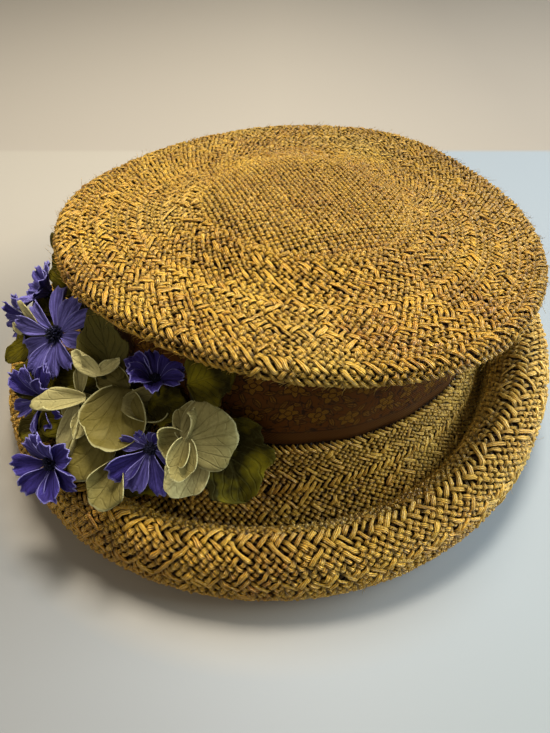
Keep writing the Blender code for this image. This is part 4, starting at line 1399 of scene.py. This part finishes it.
def tabletop():
    """Pale table with painted light: brighter and cooler towards the right where the window light falls,
    lighter at the back left, painted shade at the front right, and warm light thrown back near the hat; a
    warmer wall tone beyond its far edge.
    """
    finish = Finish("pale_table", Roughness=0.55)
    x, y, _z = finish.axes(finish.place())
    # painted light: brighter and cooler towards the right, where the window light falls
    painted_window_light = (x + y * 0.3).between(-0.22, 0.06)
    table = finish.mix(painted_window_light, colour(0.180, 0.178, 0.172), colour(0.225, 0.270, 0.318))
    # painted light: brighter at the back left
    table = finish.mix((y - x).between(0.12, 0.32), table, colour(0.345, 0.322, 0.280))
    # painted shade: darker at the front right
    table = finish.mix((x - y).between(0.16, 0.36), table, colour(0.200, 0.228, 0.232))
    reach = finish.maths("SQRT", x * x + y * y)
    reflected = (1.0 - reach.between(0.135, 0.160)) * (1.0 - x.between(-0.02, 0.09))
    table = finish.mix(reflected * 0.65, table, colour(0.340, 0.285, 0.200))
    wall = finish.mix(x.between(0.0, 0.25), colour(0.315, 0.288, 0.250), colour(0.250, 0.230, 0.205))
    grain = finish.noise(finish.place(), 6.0, 2.0)
    shade = finish.mix(y.between(WALL_FROM, WALL_TO), table, wall)
    shade = finish.mix(grain * 0.05, shade, colour(0.4, 0.4, 0.4))
    finish.show(Base_Color=shade)
    bpy.ops.mesh.primitive_plane_add(size=FLOOR_SIZE, location=(0.0, 0.0, 0.0))
    floor = bpy.context.object
    floor.name = "tabletop"
    floor.data.materials.append(finish.material)


LIGHTS = (
    # name, place, aim, size, power, tint
    ("window", (1.36, 0.05, 0.74), (0.0, 0.0, 0.03), (0.95, 0.95), 35.0, (0.88, 0.965, 1.0)),
    ("warm_top", (0.06, 0.24, 0.98), (0.0, 0.0, 0.05), (0.28, 0.28), 15.5, (1.0, 0.90, 0.75)),
    ("front_soft", (-0.5, -0.8, 0.8), (0.0, 0.0, 0.03), (0.6, 0.6), 2.0, (1.0, 0.94, 0.86)),
)
ROOM_TINT = colour(1.0, 0.88, 0.68)
ROOM_STRENGTH = 0.26


def area_light(name, place, aim, size, power, tint):
    light = bpy.data.lights.new(name, "AREA")
    light.shape = "RECTANGLE"
    light.size, light.size_y = size
    light.energy = power
    light.color = tint
    lamp = bpy.data.objects.new(name, light)
    lamp.location = place
    lamp.rotation_euler = (Vector(aim) - Vector(place)).to_track_quat("-Z", "Y").to_euler()
    bpy.context.scene.collection.objects.link(lamp)


def studio_light():
    for row in LIGHTS:
        area_light(*row)
    world = bpy.data.worlds.new("soft_room")
    world.use_nodes = True
    background = world.node_tree.nodes["Background"]
    background.inputs["Color"].default_value = ROOM_TINT
    background.inputs["Strength"].default_value = ROOM_STRENGTH
    bpy.context.scene.world = world
    bpy.context.scene.view_settings.view_transform = "Standard"


CAMERA_AIM = (-0.0001, -0.0028, 0.0)
CAMERA_DISTANCE = 0.3054
CAMERA_ELEVATION = math.radians(45.6)
IMAGE_WIDTH = 550
IMAGE_HEIGHT = 733
SENSOR_HEIGHT = 36.0


def camera():
    data = bpy.data.cameras.new("camera")
    data.sensor_fit = "VERTICAL"
    data.sensor_height = SENSOR_HEIGHT
    data.lens = SENSOR_HEIGHT * IMAGE_WIDTH / IMAGE_HEIGHT
    data.clip_start = 0.01
    stand = bpy.data.objects.new("camera", data)
    back = Vector((0.0, -math.cos(CAMERA_ELEVATION), math.sin(CAMERA_ELEVATION)))
    stand.location = Vector(CAMERA_AIM) + back * CAMERA_DISTANCE
    stand.rotation_euler = (math.pi / 2.0 - CAMERA_ELEVATION, 0.0, 0.0)
    bpy.context.scene.collection.objects.link(stand)
    bpy.context.scene.camera = stand


def dress_hat():
    straw = straw_strand_finish()
    ground = straw_ground_finish()
    tip = plait_crown_tip(straw)
    brim = plait_brim(straw)
    shares = np.linspace(0.0, brim.shares[-1], GROUND_ROWS)
    shell = ground_shell("brim_ground", brim, shares, ground, "straw_brim")
    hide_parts("brim_slope", "brim_rise", "brim_roll")
    for node in ("crown_tip", "crown_wall"):
        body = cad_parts[node]
        body.data.materials.clear()
        body.data.materials.append(ground)
    ribbon(brocade_finish())
    blue = petal_finish("blue_cloth", *BLUE_PETALS)
    eye = plain_cloth_finish("blue_black_threads", *EYE_THREAD_CLOTH)
    binding = plain_cloth_finish("stem_binding", *STEM_CLOTH)
    for number, row in enumerate(BLUE_FLOWERS, 1):
        blue_flower(number, row, blue, eye, binding)
    pale = petal_finish("pale_green_cloth", *PALE_PETALS)
    green = plain_cloth_finish("green_stem_cloth", *PETAL_STALK_CLOTH)
    for number, row in enumerate(PALE_FLOWERS, 1):
        pale_flower(number, row, pale, green)
    velvet = velvet_finish()
    for number, row in enumerate(LEAVES, 1):
        velvet_leaf(number, row, velvet, binding)
    bound_stems(binding)
    stray_fibres(tip, brim, straw)


dress_hat()
tabletop()
studio_light()
camera()
